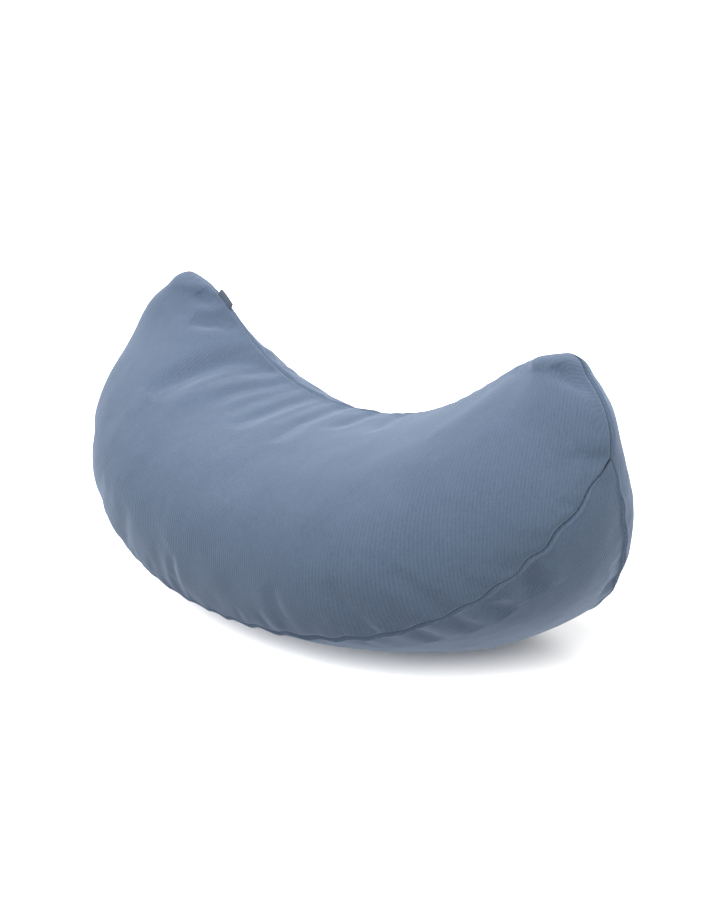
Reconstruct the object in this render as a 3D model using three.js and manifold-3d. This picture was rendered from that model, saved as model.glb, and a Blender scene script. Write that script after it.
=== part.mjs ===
// Crescent lumbar support cushion: a zipped three-panel cover over a three-panel liner full of beads.
// Millimetres. +X runs from horn to horn, the front panel faces -Y, +Z is up, the floor is z = 0.
import * as THREE from "three";
import Module from "manifold-3d";

const wasm = await Module();
wasm.setup();

// ---- overall shape -------------------------------------------------------------------------
const SIDE_HALF_WIDTH = 218; // centre to the point where the gusset ends in each side
const SIDE_HEIGHT = 133; // height of that point over the base seams
const HORN_HALF_SPAN = 176; // centre to each horn's tip
const HORN_HEIGHT = 186;
const NOTCH_HEIGHT = 123.5; // top seam at the middle of the crescent
const BASE_DEPTH = 173; // gusset width at the middle
const LEAN_DEG = 7; // the cushion stands leaning back
const FRONT_BULGE = 0.356; // panel bulge over chord length
const BACK_BULGE = 0.3;
const BASE_BULGE = 0.09; // gusset bulge over its width
const FLOOR_FLAT = 3; // how far the gusset is pressed flat where it stands

// ---- outline handles, as shares of the sizes above -----------------------------------------
const SIDE_ANGLE = 88.5;
const HORN_OUTER_ANGLE = 150;
const HORN_INNER_ANGLE = 11.3;
const BASE_HANDLE = 0.16 * SIDE_HALF_WIDTH;
const SIDE_LOW_HANDLE = 0.718 * SIDE_HEIGHT;
const SIDE_HIGH_HANDLE = 0.478 * (HORN_HEIGHT - SIDE_HEIGHT);
const HORN_OUTER_HANDLE = 0.498 * (HORN_HEIGHT - SIDE_HEIGHT);
const NOTCH_HANDLE = 0.592 * HORN_HALF_SPAN;
const HORN_INNER_HANDLE = 0.32 * HORN_HALF_SPAN;

// ---- bulge profile across a panel ----------------------------------------------------------
const BULGE_POWER = 1.1;
const BULGE_CHORD = 150;
const BELLY_LOW = 1.42; // above 1 the belly hangs low
const BELLY_ROUND = 2.07;
const BELLY_EDGE = 0.66;

// ---- layers, from the outside in -----------------------------------------------------------
const COVER_THICK = 1.2;
const LINER_LOOSE = 2.2; // space between the cover and the liner
const LINER_THICK = 0.6;
const PIECE_GAP = 0.3;
const LINER_OUT = COVER_THICK + LINER_LOOSE;
const LINER_IN = LINER_OUT + LINER_THICK;
const FILL_OUT = LINER_IN + PIECE_GAP;
const EDGE_STRETCH = 1.2; // a seam is set back this much more than a face, layer by layer
const SEAM_INSET = 0.2; // each panel stops this far short of the seam line
const COVER_TIP_CHORD = 8; // panels end where they get this narrow
const INNER_TIP_CHORD = 26;

// ---- zip in the back base seam -------------------------------------------------------------
const ZIP_HALF = 90; // half the opening's length
const ZIP_RADIUS = 410; // the middle of each base seam is an arc of this radius
const ZIP_END_TAPER = 4;
const COIL_OUT = 3.1; // chain centre to the coil's outer side
const COIL_SLIT = 0.55; // chain centre to the coil's inner side
const COIL_TOP = -1.0; // heights are measured from the seam ridge, outwards
const COIL_HEIGHT = 2.05;
const ZIP_END_ROOM = 7; // from each end of the coils to the end of the opening
const COIL_HALF = ZIP_HALF - ZIP_END_ROOM;
const TAPE_THICK = 0.5;
const TAPE_REACH = 11;
const STOP_LENGTH = 2;
const STOP_GAP = 0.4;

// ---- slider and pull tab -------------------------------------------------------------------
const SLIDER_LENGTH = 10;
const SLIDER_PLATE = 0.9;
const SLIDER_LOWER_PLATE = 0.7;
const SLIDER_FLANGE = 0.7;
const FLANGE_CLEAR = 0.4; // between each coil and its flange
const SLIDER_WIDTH = 2 * (COIL_OUT + FLANGE_CLEAR + SLIDER_FLANGE);
const SLIDER_TAIL_WIDTH = SLIDER_WIDTH - 0.4;
const SLIDER_CLEAR = 0.35;
const SLIDER_END_GAP = 0.4;
const SLIDER_REST = COIL_HALF - SLIDER_LENGTH / 2 - SLIDER_END_GAP; // from the zip's middle, closed
const OPENING_CLEAR = 0.6; // between the slider and each hem
const OPENING_HALF = SLIDER_WIDTH / 2 + OPENING_CLEAR;
const TAPE_FLAT = OPENING_HALF + 0.1;
const TAB_PIN = 1.2;
const TAB_LENGTH = 17;
const TAB_WIDTH = 6;
const TAB_HANG_DEG = 32;
const BRIDGE_WIDTH = 1.6;
const BRIDGE_BAR = 0.8;
const BRIDGE_SPAN = 3.0;
const BRIDGE_RISE = TAB_PIN + 2 * PIECE_GAP;
const TAB_HOLE_WIDTH = BRIDGE_WIDTH + 0.8;
const TAB_HOLE_END = BRIDGE_SPAN / 2 + BRIDGE_BAR + 1.4;

// ---- heights in the zip, outwards from the seam ridge ----------------------------------------
const tapeTop = COIL_TOP - COIL_HEIGHT - PIECE_GAP;
const plateLow = COIL_TOP + SLIDER_CLEAR;
const plateTop = plateLow + SLIDER_PLATE;
const lowerTop = tapeTop - TAPE_THICK - PIECE_GAP;
const lowerLow = lowerTop - SLIDER_LOWER_PLATE;
const pinHeight = plateTop + PIECE_GAP + TAB_PIN / 2;
const LINER_CLEAR = 1.95; // between the slider's lower plate and the liner
const LINER_DENT = LINER_CLEAR - lowerLow - LINER_OUT; // the liner gives way under the zip

// ---- side label ----------------------------------------------------------------------------
const LABEL_LENGTH = 18;
const LABEL_REACH = 4;
const LABEL_THICK = 0.5;
const LABEL_U = -0.78; // where along the notch seam, 1 at a horn's tip

const V = (x, y, z) => new THREE.Vector3(x, y, z);
const radians = THREE.MathUtils.degToRad;

// ---- outline -------------------------------------------------------------------------------
const halfDepth = BASE_DEPTH / 2;
const planeStretch = Math.hypot(SIDE_HEIGHT, halfDepth) / SIDE_HEIGHT;
const along = (deg, size) =>
  new THREE.Vector2(Math.cos(radians(deg)) * size, Math.sin(radians(deg)) * size);

function arcPoint(angle) {
  const drop = (ZIP_RADIUS * (1 - Math.cos(angle))) / planeStretch;
  return new THREE.Vector2(ZIP_RADIUS * Math.sin(angle), drop);
}

class BaseArc extends THREE.Curve {
  getPoint(s, target = new THREE.Vector2()) {
    return target.copy(arcPoint((s * ZIP_HALF) / ZIP_RADIUS));
  }
}

const arcEnd = arcPoint(ZIP_HALF / ZIP_RADIUS);
const arcEndDir = new THREE.Vector2(
  Math.cos(ZIP_HALF / ZIP_RADIUS),
  Math.sin(ZIP_HALF / ZIP_RADIUS) / planeStretch,
).normalize();
const side = new THREE.Vector2(SIDE_HALF_WIDTH, SIDE_HEIGHT);
const horn = new THREE.Vector2(HORN_HALF_SPAN, HORN_HEIGHT);
const lowCurve = new THREE.CubicBezierCurve(
  arcEnd,
  arcEnd.clone().addScaledVector(arcEndDir, BASE_HANDLE),
  side.clone().sub(along(SIDE_ANGLE, SIDE_LOW_HANDLE)),
  side,
);
const highCurve = new THREE.CubicBezierCurve(
  side,
  side.clone().add(along(SIDE_ANGLE, SIDE_HIGH_HANDLE)),
  horn.clone().sub(along(HORN_OUTER_ANGLE, HORN_OUTER_HANDLE)),
  horn,
);
const innerCurve = new THREE.CubicBezierCurve(
  new THREE.Vector2(0, NOTCH_HEIGHT),
  new THREE.Vector2(NOTCH_HANDLE, NOTCH_HEIGHT),
  horn.clone().sub(along(HORN_INNER_ANGLE, HORN_INNER_HANDLE)),
  horn,
);
innerCurve.arcLengthDivisions = 400;
const outerCurves = [new BaseArc(), lowCurve, highCurve];
outerCurves.forEach((c) => (c.arcLengthDivisions = 400));
const outerLengths = outerCurves.map((c) => c.getLength());
const outerLength = outerLengths.reduce((a, b) => a + b);
const U_SIDE = (outerLengths[0] + outerLengths[1]) / outerLength;

function outerPoint(u) {
  let left = u * outerLength;
  for (let i = 0; i < outerCurves.length; i++) {
    const last = i === outerCurves.length - 1;
    if (left <= outerLengths[i] || last)
      return outerCurves[i].getPointAt(Math.min(left / outerLengths[i], 1));
    left -= outerLengths[i];
  }
}

// ---- the three outer surfaces, u from -1 to 1 between the horn tips --------------------------
const lean = new THREE.Matrix4().makeRotationX(-radians(LEAN_DEG));
const mirrored = (p, u) => (u < 0 ? p.setX(-p.x) : p);

function gussetHalfWidth(u, outer) {
  return Math.abs(u) >= U_SIDE ? 0 : halfDepth * Math.max(0, 1 - outer.y / SIDE_HEIGHT);
}

// A panel's section: the chord from the top seam to the outer seam, and the way it bulges.
function panelSection(u, facing) {
  const outer = outerPoint(Math.abs(u));
  const inner = innerCurve.getPointAt(Math.abs(u));
  const from = V(inner.x, 0, inner.y);
  const to = V(outer.x, facing * gussetHalfWidth(u, outer), outer.y);
  const length = from.distanceTo(to);
  const chord = to.sub(from).divideScalar(Math.max(length, 1e-6));
  const out = V(0, facing, 0).addScaledVector(chord, -facing * chord.y).normalize();
  const share = facing < 0 ? FRONT_BULGE : BACK_BULGE;
  const bulge = share * length ** BULGE_POWER * BULGE_CHORD ** (1 - BULGE_POWER);
  return { from, chord, length, out, bulge };
}

function swellAt(t) {
  const across = Math.abs(2 * t ** BELLY_LOW - 1) ** BELLY_ROUND;
  return Math.max(0, 1 - across) ** BELLY_EDGE;
}

// t runs from the top seam (0) to the outer seam (1); facing is -1 for the front, 1 for the back.
function panelPoint(u, t, facing) {
  const { from, chord, length, out, bulge } = panelSection(u, facing);
  from.addScaledVector(chord, t * length).addScaledVector(out, bulge * swellAt(t));
  return mirrored(from, u).applyMatrix4(lean);
}

// t runs from the front seam (0) to the back seam (1).
function gussetPoint(u, t) {
  const a = Math.abs(u);
  const outer = outerPoint(a);
  const inner = innerCurve.getPointAt(a);
  const half = gussetHalfWidth(a, outer);
  const v = 2 * t - 1;
  const away = outer.clone().sub(inner).normalize();
  const bulge = BASE_BULGE * 2 * half * (1 - v * v);
  return mirrored(
    V(outer.x + away.x * bulge, half * v, outer.y + away.y * bulge),
    u,
  ).applyMatrix4(lean);
}

const RAW = {
  front: (u, t) => panelPoint(u, t, -1),
  back: (u, t) => panelPoint(u, t, 1),
  base: gussetPoint,
};

let lowest = Infinity;
for (let i = 0; i <= 20; i++)
  for (let j = 0; j <= 20; j++)
    for (const kind of Object.keys(RAW))
      lowest = Math.min(lowest, RAW[kind](0.5 * (i / 20), j / 20).z);
const floorLevel = lowest + FLOOR_FLAT;

const outside = (kind, u, t) => {
  const p = RAW[kind](u, t);
  p.z = Math.max(p.z - floorLevel, 0);
  return p;
};

// ---- the grid all the layers share -----------------------------------------------------------
const uAt = (distance) => distance / outerLength;
const spread = (from, to, n) =>
  Array.from({ length: n }, (_, i) => from + ((to - from) * (i + 1)) / n);

function uWhereChordIs(size) {
  let low = U_SIDE;
  let high = 1;
  for (let i = 0; i < 40; i++) {
    const mid = (low + high) / 2;
    if (outerPoint(mid).distanceTo(innerCurve.getPointAt(mid)) > size) low = mid;
    else high = mid;
  }
  return low;
}

const uCoverTip = uWhereChordIs(COVER_TIP_CHORD);
const uInnerTip = uWhereChordIs(INNER_TIP_CHORD);
const uGussetEnd = U_SIDE - 2.2 / outerLength;
const uHalf = [
  0,
  ...spread(0, uAt(ZIP_HALF), 4),
  uAt(ZIP_HALF + ZIP_END_TAPER),
  ...spread(uAt(ZIP_HALF + ZIP_END_TAPER), uGussetEnd, 6),
  U_SIDE,
  ...spread(U_SIDE, uInnerTip, 3),
  uCoverTip,
];
const uGrid = [...uHalf.slice(1).reverse().map((u) => -u), ...uHalf];
const PANEL_ROWS = 8;
const GUSSET_ROWS = 8;
const panelT = Array.from(
  { length: PANEL_ROWS + 1 },
  (_, j) => (1 - Math.cos((Math.PI * j) / PANEL_ROWS)) / 2,
);
const gussetT = Array.from({ length: GUSSET_ROWS + 1 }, (_, j) => j / GUSSET_ROWS);
const rowsOf = (kind) => (kind === "base" ? gussetT : panelT);

function normal(kind, u, t) {
  const h = 0.004;
  const k = 0.02;
  const uc = THREE.MathUtils.clamp(u, -1 + 2 * h, 1 - 2 * h);
  const tc = THREE.MathUtils.clamp(t, k, 1 - k);
  const du = outside(kind, uc + h, tc).sub(outside(kind, uc - h, tc));
  const dt = outside(kind, uc, tc + k).sub(outside(kind, uc, tc - k));
  const n = du.cross(dt).normalize();
  return kind === "back" ? n : n.negate();
}

const isSide = (u) => Math.abs(u) > U_SIDE - 1e-9;
const facingOf = { front: -1, back: 1 };

// Where the base seam is, the layers' corners follow both surfaces that meet there.
function baseSeamRay(u, gussetEdge) {
  const a = normal(gussetEdge === 0 ? "front" : "back", u, 1);
  const b = normal("base", u, gussetEdge);
  return a.clone().add(b).divideScalar(1 + a.dot(b));
}

// The way each layer steps out to the next at a grid point, per millimetre of depth.
const rayCache = new Map();
function ray(kind, u, t) {
  const key = `${kind} ${u} ${t}`;
  if (!rayCache.has(key)) rayCache.set(key, rayFor(kind, u, t));
  return rayCache.get(key);
}

function rayFor(kind, u, t) {
  if (kind === "base" && isSide(u)) return ray("front", u, 1);
  if (kind === "base") return t === 0 || t === 1 ? baseSeamRay(u, t) : normal(kind, u, t);
  const facing = facingOf[kind];
  const turnedOut = (v) => mirrored(v, u).transformDirection(lean);
  const { chord, out } = panelSection(u, facing);
  const top = turnedOut(chord.clone().setY(0).negate()).multiplyScalar(EDGE_STRETCH);
  const low = isSide(u)
    ? turnedOut(chord.clone()).multiplyScalar(EDGE_STRETCH)
    : baseSeamRay(u, kind === "front" ? 0 : 1);
  return turnedOut(out)
    .multiplyScalar(swellAt(t))
    .addScaledVector(top, 1 - t)
    .addScaledVector(low, t);
}

const inZip = (u) => Math.abs(u) < uAt(ZIP_HALF) + 1e-9;

function layerPoint(kind, u, t, depth, dent = 0) {
  const p = outside(kind, u, t).addScaledVector(ray(kind, u, t), -depth);
  const zipSeam = (kind === "back" || kind === "base") && t === 1;
  if (dent && zipSeam && inZip(u)) p.addScaledVector(ray(kind, u, t), -dent);
  return p;
}

// How far a panel's edge stands back from the seam line.
function inset(kind, u, t, opening) {
  if (t !== 0 && t !== 1) return 0;
  const zipSeam = (kind === "back" || kind === "base") && t === 1;
  return opening && zipSeam && inZip(u) ? OPENING_HALF : SEAM_INSET;
}

function edgePoint(kind, u, j, depth, layer) {
  const rows = rowsOf(kind);
  const p = layerPoint(kind, u, rows[j], depth, layer.dent);
  const back = inset(kind, u, rows[j], layer.opening);
  if (!back) return p;
  const next = layerPoint(kind, u, rows[j === 0 ? 1 : j - 1], depth, layer.dent);
  return p.addScaledVector(next.sub(p).normalize(), back);
}

// ---- mesh building ----------------------------------------------------------------------------
function geometryFrom(triangles) {
  const flat = [];
  for (const tri of triangles) {
    const [a, b, c] = tri;
    if (a.distanceTo(b) < 1e-3 || b.distanceTo(c) < 1e-3 || c.distanceTo(a) < 1e-3) continue;
    for (const p of tri) flat.push(p.x, p.y, p.z);
  }
  const g = new THREE.BufferGeometry();
  g.setAttribute("position", new THREE.Float32BufferAttribute(flat, 3));
  g.computeVertexNormals();
  return g;
}

function addQuad(triangles, a, b, c, d, flip) {
  if (flip) triangles.push([a, c, b], [a, d, c]);
  else triangles.push([a, b, c], [a, c, d]);
}

function addGrid(triangles, grid, flip) {
  for (let i = 0; i + 1 < grid.length; i++)
    for (let j = 0; j + 1 < grid[i].length; j++)
      addQuad(triangles, grid[i][j], grid[i + 1][j], grid[i + 1][j + 1], grid[i][j + 1], flip);
}

// A sheet between two grids of the same size, closed all round its edge.
function sheetGeometry(outer, inner, flip) {
  const triangles = [];
  addGrid(triangles, outer, flip);
  addGrid(triangles, inner, !flip);
  const n = outer.length - 1;
  const m = outer[0].length - 1;
  for (let i = 0; i < n; i++) {
    addQuad(triangles, outer[i][0], inner[i][0], inner[i + 1][0], outer[i + 1][0], flip);
    addQuad(triangles, outer[i][m], outer[i + 1][m], inner[i + 1][m], inner[i][m], flip);
  }
  for (let j = 0; j < m; j++) {
    addQuad(triangles, outer[0][j], outer[0][j + 1], inner[0][j + 1], inner[0][j], flip);
    addQuad(triangles, outer[n][j], inner[n][j], inner[n][j + 1], outer[n][j + 1], flip);
  }
  return geometryFrom(triangles);
}

const COVER = { outer: 0, inner: COVER_THICK, tip: uCoverTip, opening: true, dent: 0 };
const LINER = { outer: LINER_OUT, inner: LINER_IN, tip: uInnerTip, opening: false, dent: LINER_DENT };
const FILL = { outer: FILL_OUT, tip: uInnerTip, dent: LINER_DENT };
const turned = { front: true, back: false, base: true }; // grids whose faces are turned to face out

function panelGeometry(kind, layer) {
  const end = kind === "base" ? uGussetEnd : layer.tip;
  const us = uGrid.filter((u) => Math.abs(u) <= end + 1e-9);
  const gridAt = (depth) =>
    us.map((u) => rowsOf(kind).map((_, j) => edgePoint(kind, u, j, depth, layer)));
  return sheetGeometry(gridAt(layer.outer), gridAt(layer.inner), turned[kind]);
}

function fillGeometry() {
  const triangles = [];
  const rings = {};
  for (const kind of ["front", "back", "base"]) {
    const end = kind === "base" ? U_SIDE : FILL.tip;
    const us = uGrid.filter((u) => Math.abs(u) <= end + 1e-9);
    const grid = us.map((u) =>
      rowsOf(kind).map((t) => layerPoint(kind, u, t, FILL.outer, FILL.dent)),
    );
    addGrid(triangles, grid, turned[kind]);
    rings[kind] = [grid[0], grid[grid.length - 1]];
  }
  for (const end of [0, 1]) {
    const ring = [...rings.front[end], ...rings.back[end].slice(1, -1).reverse()];
    const middle = ring.reduce((a, b) => a.clone().add(b)).divideScalar(ring.length);
    ring.forEach((p, i) => {
      const q = ring[(i + 1) % ring.length];
      triangles.push(end ? [middle, p, q] : [middle, q, p]); // the front grid is a turned one
    });
  }
  return geometryFrom(triangles);
}

// ---- the zip's own frame ------------------------------------------------------------------------
// Every zip piece is a band turned about one axis through the centre of the back base seam's arc.
const zipRidge = outside("back", 0, 1);
const seamTop = V(0, 0, SIDE_HEIGHT).applyMatrix4(lean).setZ(
  V(0, 0, SIDE_HEIGHT).applyMatrix4(lean).z - floorLevel,
);
const zipDown = zipRidge.clone().sub(seamTop).normalize();
const zipCentre = zipRidge.clone().addScaledVector(zipDown, -ZIP_RADIUS);
const zipAxis = V(1, 0, 0).cross(zipDown).normalize(); // points up and back
const zipUp = ray("back", 0, 1).clone().setX(0).normalize(); // out of the seam
const zipSide = V(1, 0, 0).cross(zipUp).normalize(); // towards the back panel

function zipPoint(s, q, h) {
  const p = zipRidge.clone().addScaledVector(zipSide, q).addScaledVector(zipUp, h);
  return p.sub(zipCentre).applyAxisAngle(zipAxis, -s / ZIP_RADIUS).add(zipCentre);
}

const zipStations = (half) => {
  const inner = [-67.5, -45, -22.5, 0, 22.5, 45, 67.5].map((s) => (s * ZIP_HALF) / 90);
  return [-half, ...inner, half];
};

// A closed band from cross-section points given at each station.
function bandGeometry(stations, sectionAt) {
  const rings = stations.map(sectionAt);
  if (THREE.ShapeUtils.area(flatten(rings[0])) > 0) rings.forEach((ring) => ring.reverse());
  const triangles = [];
  const n = rings[0].length;
  for (let i = 0; i + 1 < rings.length; i++)
    for (let j = 0; j < n; j++) {
      const k = (j + 1) % n;
      addQuad(triangles, rings[i][j], rings[i][k], rings[i + 1][k], rings[i + 1][j], false);
    }
  for (const [ring, start] of [[rings[0], true], [rings[rings.length - 1], false]])
    for (const [a, b, c] of THREE.ShapeUtils.triangulateShape(flatten(ring), []))
      triangles.push(start ? [ring[a], ring[b], ring[c]] : [ring[a], ring[c], ring[b]]);
  return outward(geometryFrom(triangles));
}

// Cross-section points seen along the zip.
function flatten(ring) {
  const points = ring.map((p) => {
    const d = p.clone().sub(zipCentre);
    const radial = d.clone().addScaledVector(zipAxis, -d.dot(zipAxis));
    return new THREE.Vector2(d.dot(zipAxis), radial.length());
  });
  return points;
}

function volumeOf(g) {
  const a = g.getAttribute("position");
  let sum = 0;
  for (let i = 0; i < a.count; i += 3) {
    const [p, q, r] = [0, 1, 2].map((k) => V(a.getX(i + k), a.getY(i + k), a.getZ(i + k)));
    sum += p.dot(q.cross(r));
  }
  return sum / 6;
}

function outward(g) {
  const flat = g.index ? g.toNonIndexed() : g;
  if (volumeOf(flat) > 0) return flat;
  const a = flat.getAttribute("position").array;
  for (let i = 0; i < a.length; i += 9)
    for (let k = 0; k < 3; k++) [a[i + 3 + k], a[i + 6 + k]] = [a[i + 6 + k], a[i + 3 + k]];
  flat.computeVertexNormals();
  return flat;
}

function barGeometry(stations, q0, q1, h0, h1) {
  return bandGeometry(stations, (s) => [
    zipPoint(s, q0, h0),
    zipPoint(s, q1, h0),
    zipPoint(s, q1, h1),
    zipPoint(s, q0, h1),
  ]);
}

// A tape lies flat under its coil, then follows the inside of its panel.
function tapeGeometry(kind, sign) {
  const under = COVER_THICK + PIECE_GAP + 0.1;
  const rows = rowsOf(kind);
  const farEdge = (s, depth) => {
    const u = uAt(s);
    const seam = layerPoint(kind, u, 1, depth);
    const next = layerPoint(kind, u, rows[rows.length - 2], depth);
    return seam.addScaledVector(next.sub(seam).normalize(), TAPE_REACH);
  };
  return bandGeometry(zipStations(ZIP_HALF - PIECE_GAP), (s) => [
    zipPoint(s, sign * COIL_SLIT, tapeTop),
    zipPoint(s, sign * TAPE_FLAT, tapeTop),
    farEdge(s, under),
    farEdge(s, under + TAPE_THICK),
    zipPoint(s, sign * (TAPE_FLAT - 0.1), tapeTop - TAPE_THICK),
    zipPoint(s, sign * COIL_SLIT, tapeTop - TAPE_THICK),
  ]);
}

const coil = (sign) =>
  barGeometry(
    zipStations(COIL_HALF),
    sign * COIL_SLIT,
    sign * COIL_OUT,
    COIL_TOP - COIL_HEIGHT,
    COIL_TOP,
  );

const stopAt = (s0, s1, q0, q1) =>
  barGeometry([s0, s1], q0, q1, COIL_TOP - COIL_HEIGHT, COIL_TOP + 0.1);

// ---- slider and pull tab ------------------------------------------------------------------------
// Their local frame: X along the zip towards the closed end, Y across, Z out of the seam.
const zipMatrix = (s) => {
  const turn = new THREE.Quaternion().setFromAxisAngle(zipAxis, -s / ZIP_RADIUS);
  const m = new THREE.Matrix4().makeBasis(
    V(1, 0, 0).applyQuaternion(turn),
    zipSide.clone().applyQuaternion(turn),
    zipUp.clone().applyQuaternion(turn),
  );
  return m.setPosition(zipPoint(s, 0, 0));
};

function solid(g) {
  const flat = g.index ? g.toNonIndexed() : g;
  const array = flat.getAttribute("position").array;
  const seen = new Map();
  const verts = [];
  const tris = [];
  for (let i = 0; i < array.length; i += 3) {
    const key = [0, 1, 2].map((k) => Math.round(array[i + k] * 1e4)).join();
    if (!seen.has(key)) {
      seen.set(key, verts.length / 3);
      verts.push(array[i], array[i + 1], array[i + 2]);
    }
    tris.push(seen.get(key));
  }
  return new wasm.Manifold(
    new wasm.Mesh({
      numProp: 3,
      vertProperties: new Float32Array(verts),
      triVerts: new Uint32Array(tris),
    }),
  );
}

function fromSolid(m) {
  const mesh = m.getMesh();
  const g = new THREE.BufferGeometry();
  g.setAttribute("position", new THREE.BufferAttribute(mesh.vertProperties, 3));
  g.setIndex(new THREE.BufferAttribute(mesh.triVerts, 1));
  const flat = g.toNonIndexed();
  flat.computeVertexNormals();
  return flat;
}

const box = (x0, x1, y0, y1, z0, z1) =>
  solid(
    new THREE.BoxGeometry(x1 - x0, y1 - y0, z1 - z0).translate(
      (x0 + x1) / 2,
      (y0 + y1) / 2,
      (z0 + z1) / 2,
    ),
  );

function plate(front, tail, length, z0, z1) {
  const shape = new THREE.Shape();
  const half = length / 2;
  const cut = 1.2;
  shape.moveTo(-half, -tail / 2 + cut);
  shape.lineTo(-half + cut, -tail / 2);
  shape.lineTo(half - cut, -front / 2);
  shape.lineTo(half, -front / 2 + cut);
  shape.lineTo(half, front / 2 - cut);
  shape.lineTo(half - cut, front / 2);
  shape.lineTo(-half + cut, tail / 2);
  shape.lineTo(-half, tail / 2 - cut);
  const g = new THREE.ExtrudeGeometry(shape, { depth: z1 - z0, bevelEnabled: false });
  return solid(g.translate(0, 0, z0));
}

function sliderGeometry() {
  const half = SLIDER_LENGTH / 2;
  const flangeIn = SLIDER_WIDTH / 2 - SLIDER_FLANGE;
  const flangeLow = tapeTop + PIECE_GAP;
  const sunk = 0.05;
  const flange = (sign) =>
    box(
      -half + 1.4,
      half - 1.4,
      sign > 0 ? flangeIn : -flangeIn - SLIDER_FLANGE + 0.1,
      sign > 0 ? flangeIn + SLIDER_FLANGE - 0.1 : -flangeIn,
      flangeLow,
      plateLow + sunk,
    );
  const post = box(half - 3.2, half - 0.6, -0.25, 0.25, lowerTop - sunk, plateLow + sunk);
  const legOut = BRIDGE_SPAN / 2 + BRIDGE_BAR;
  const arch = new THREE.Shape();
  arch.moveTo(-legOut, -sunk);
  arch.lineTo(-BRIDGE_SPAN / 2, -sunk);
  arch.lineTo(-BRIDGE_SPAN / 2, BRIDGE_RISE);
  arch.lineTo(BRIDGE_SPAN / 2, BRIDGE_RISE);
  arch.lineTo(BRIDGE_SPAN / 2, -sunk);
  arch.lineTo(legOut, -sunk);
  arch.lineTo(legOut, BRIDGE_RISE);
  arch.lineTo(legOut - 0.8, BRIDGE_RISE + BRIDGE_BAR);
  arch.lineTo(-legOut + 0.8, BRIDGE_RISE + BRIDGE_BAR);
  arch.lineTo(-legOut, BRIDGE_RISE);
  const bridge = new THREE.ExtrudeGeometry(arch, { depth: BRIDGE_WIDTH, bevelEnabled: false });
  bridge.rotateX(Math.PI / 2).translate(0, BRIDGE_WIDTH / 2, plateTop);
  return fromSolid(
    wasm.Manifold.union([
      plate(SLIDER_WIDTH, SLIDER_TAIL_WIDTH, SLIDER_LENGTH, plateLow, plateTop),
      plate(SLIDER_WIDTH - 1, SLIDER_TAIL_WIDTH - 1, SLIDER_LENGTH - 1, lowerLow, lowerTop),
      flange(1),
      flange(-1),
      post,
      solid(bridge),
    ]),
  );
}

// The tab lies along +X from its pin at the origin.
function tabGeometry() {
  const half = TAB_WIDTH / 2;
  const pin = TAB_PIN / 2;
  const shape = new THREE.Shape();
  shape.moveTo(-pin, -half + 0.8);
  shape.lineTo(-pin + 0.6, -half + 0.4);
  shape.absarc(TAB_LENGTH - 2.5 - pin, -half + 2.5, 2.5, -Math.PI / 2, 0, false);
  shape.absarc(TAB_LENGTH - 2.5 - pin, half - 2.5, 2.5, 0, Math.PI / 2, false);
  shape.lineTo(-pin + 0.6, half - 0.4);
  shape.lineTo(-pin, half - 0.8);
  const hole = new THREE.Path();
  hole.moveTo(pin, -TAB_HOLE_WIDTH / 2);
  hole.lineTo(pin, TAB_HOLE_WIDTH / 2);
  hole.lineTo(TAB_HOLE_END, TAB_HOLE_WIDTH / 2);
  hole.lineTo(TAB_HOLE_END, -TAB_HOLE_WIDTH / 2);
  shape.holes.push(hole);
  const g = new THREE.ExtrudeGeometry(shape, {
    depth: TAB_PIN,
    bevelEnabled: false,
    curveSegments: 4,
  });
  return g.translate(0, 0, -pin);
}

const sliderMatrix = zipMatrix(SLIDER_REST);
const tabMatrix = sliderMatrix
  .clone()
  .multiply(new THREE.Matrix4().makeTranslation(0, 0, pinHeight))
  .multiply(new THREE.Matrix4().makeRotationY(-radians(TAB_HANG_DEG)));

// ---- side label: a folded ribbon caught in the notch seam ------------------------------------------
function labelGeometry() {
  const seam = outside("front", LABEL_U, 0);
  const tangent = outside("front", LABEL_U + 0.02, 0)
    .sub(outside("front", LABEL_U - 0.02, 0))
    .normalize();
  const up = ray("front", LABEL_U, 0).clone().normalize();
  const across = tangent.clone().cross(up).normalize();
  const fold = new THREE.Shape();
  const t = LABEL_THICK;
  fold.moveTo(-t - 0.05, 0);
  fold.lineTo(-0.05, 0);
  fold.lineTo(-0.05, LABEL_REACH - t);
  fold.lineTo(0.05, LABEL_REACH - t);
  fold.lineTo(0.05, 0);
  fold.lineTo(t + 0.05, 0);
  fold.lineTo(t + 0.05, LABEL_REACH - 0.3);
  fold.lineTo(t - 0.2, LABEL_REACH);
  fold.lineTo(-t + 0.2, LABEL_REACH);
  fold.lineTo(-t - 0.05, LABEL_REACH - 0.3);
  const g = new THREE.ExtrudeGeometry(fold, { depth: LABEL_LENGTH, bevelEnabled: false });
  g.translate(0, PIECE_GAP + 0.3, -LABEL_LENGTH / 2);
  const m = new THREE.Matrix4().makeBasis(across, up, tangent).setPosition(seam);
  if (m.determinant() < 0) m.makeBasis(across.negate(), up, tangent).setPosition(seam);
  return g.applyMatrix4(m);
}

// ---- assembly -----------------------------------------------------------------------------------------
const part = new THREE.Group();
part.name = "lumbar_support_cushion";

function add(name, geometry, color, roughness, metalness = 0) {
  const material = new THREE.MeshStandardMaterial({ color, roughness, metalness });
  const mesh = new THREE.Mesh(outward(geometry), material);
  mesh.name = name;
  part.add(mesh);
  return mesh;
}

const COVER_BLUE = 0x687d9a;
const LINER_WHITE = 0xe6e6e2;
const BEAD_WHITE = 0xf4f4f2;
const ZIP_BLUE = 0x44536a;
const ZIP_METAL = 0x50555c;

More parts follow.
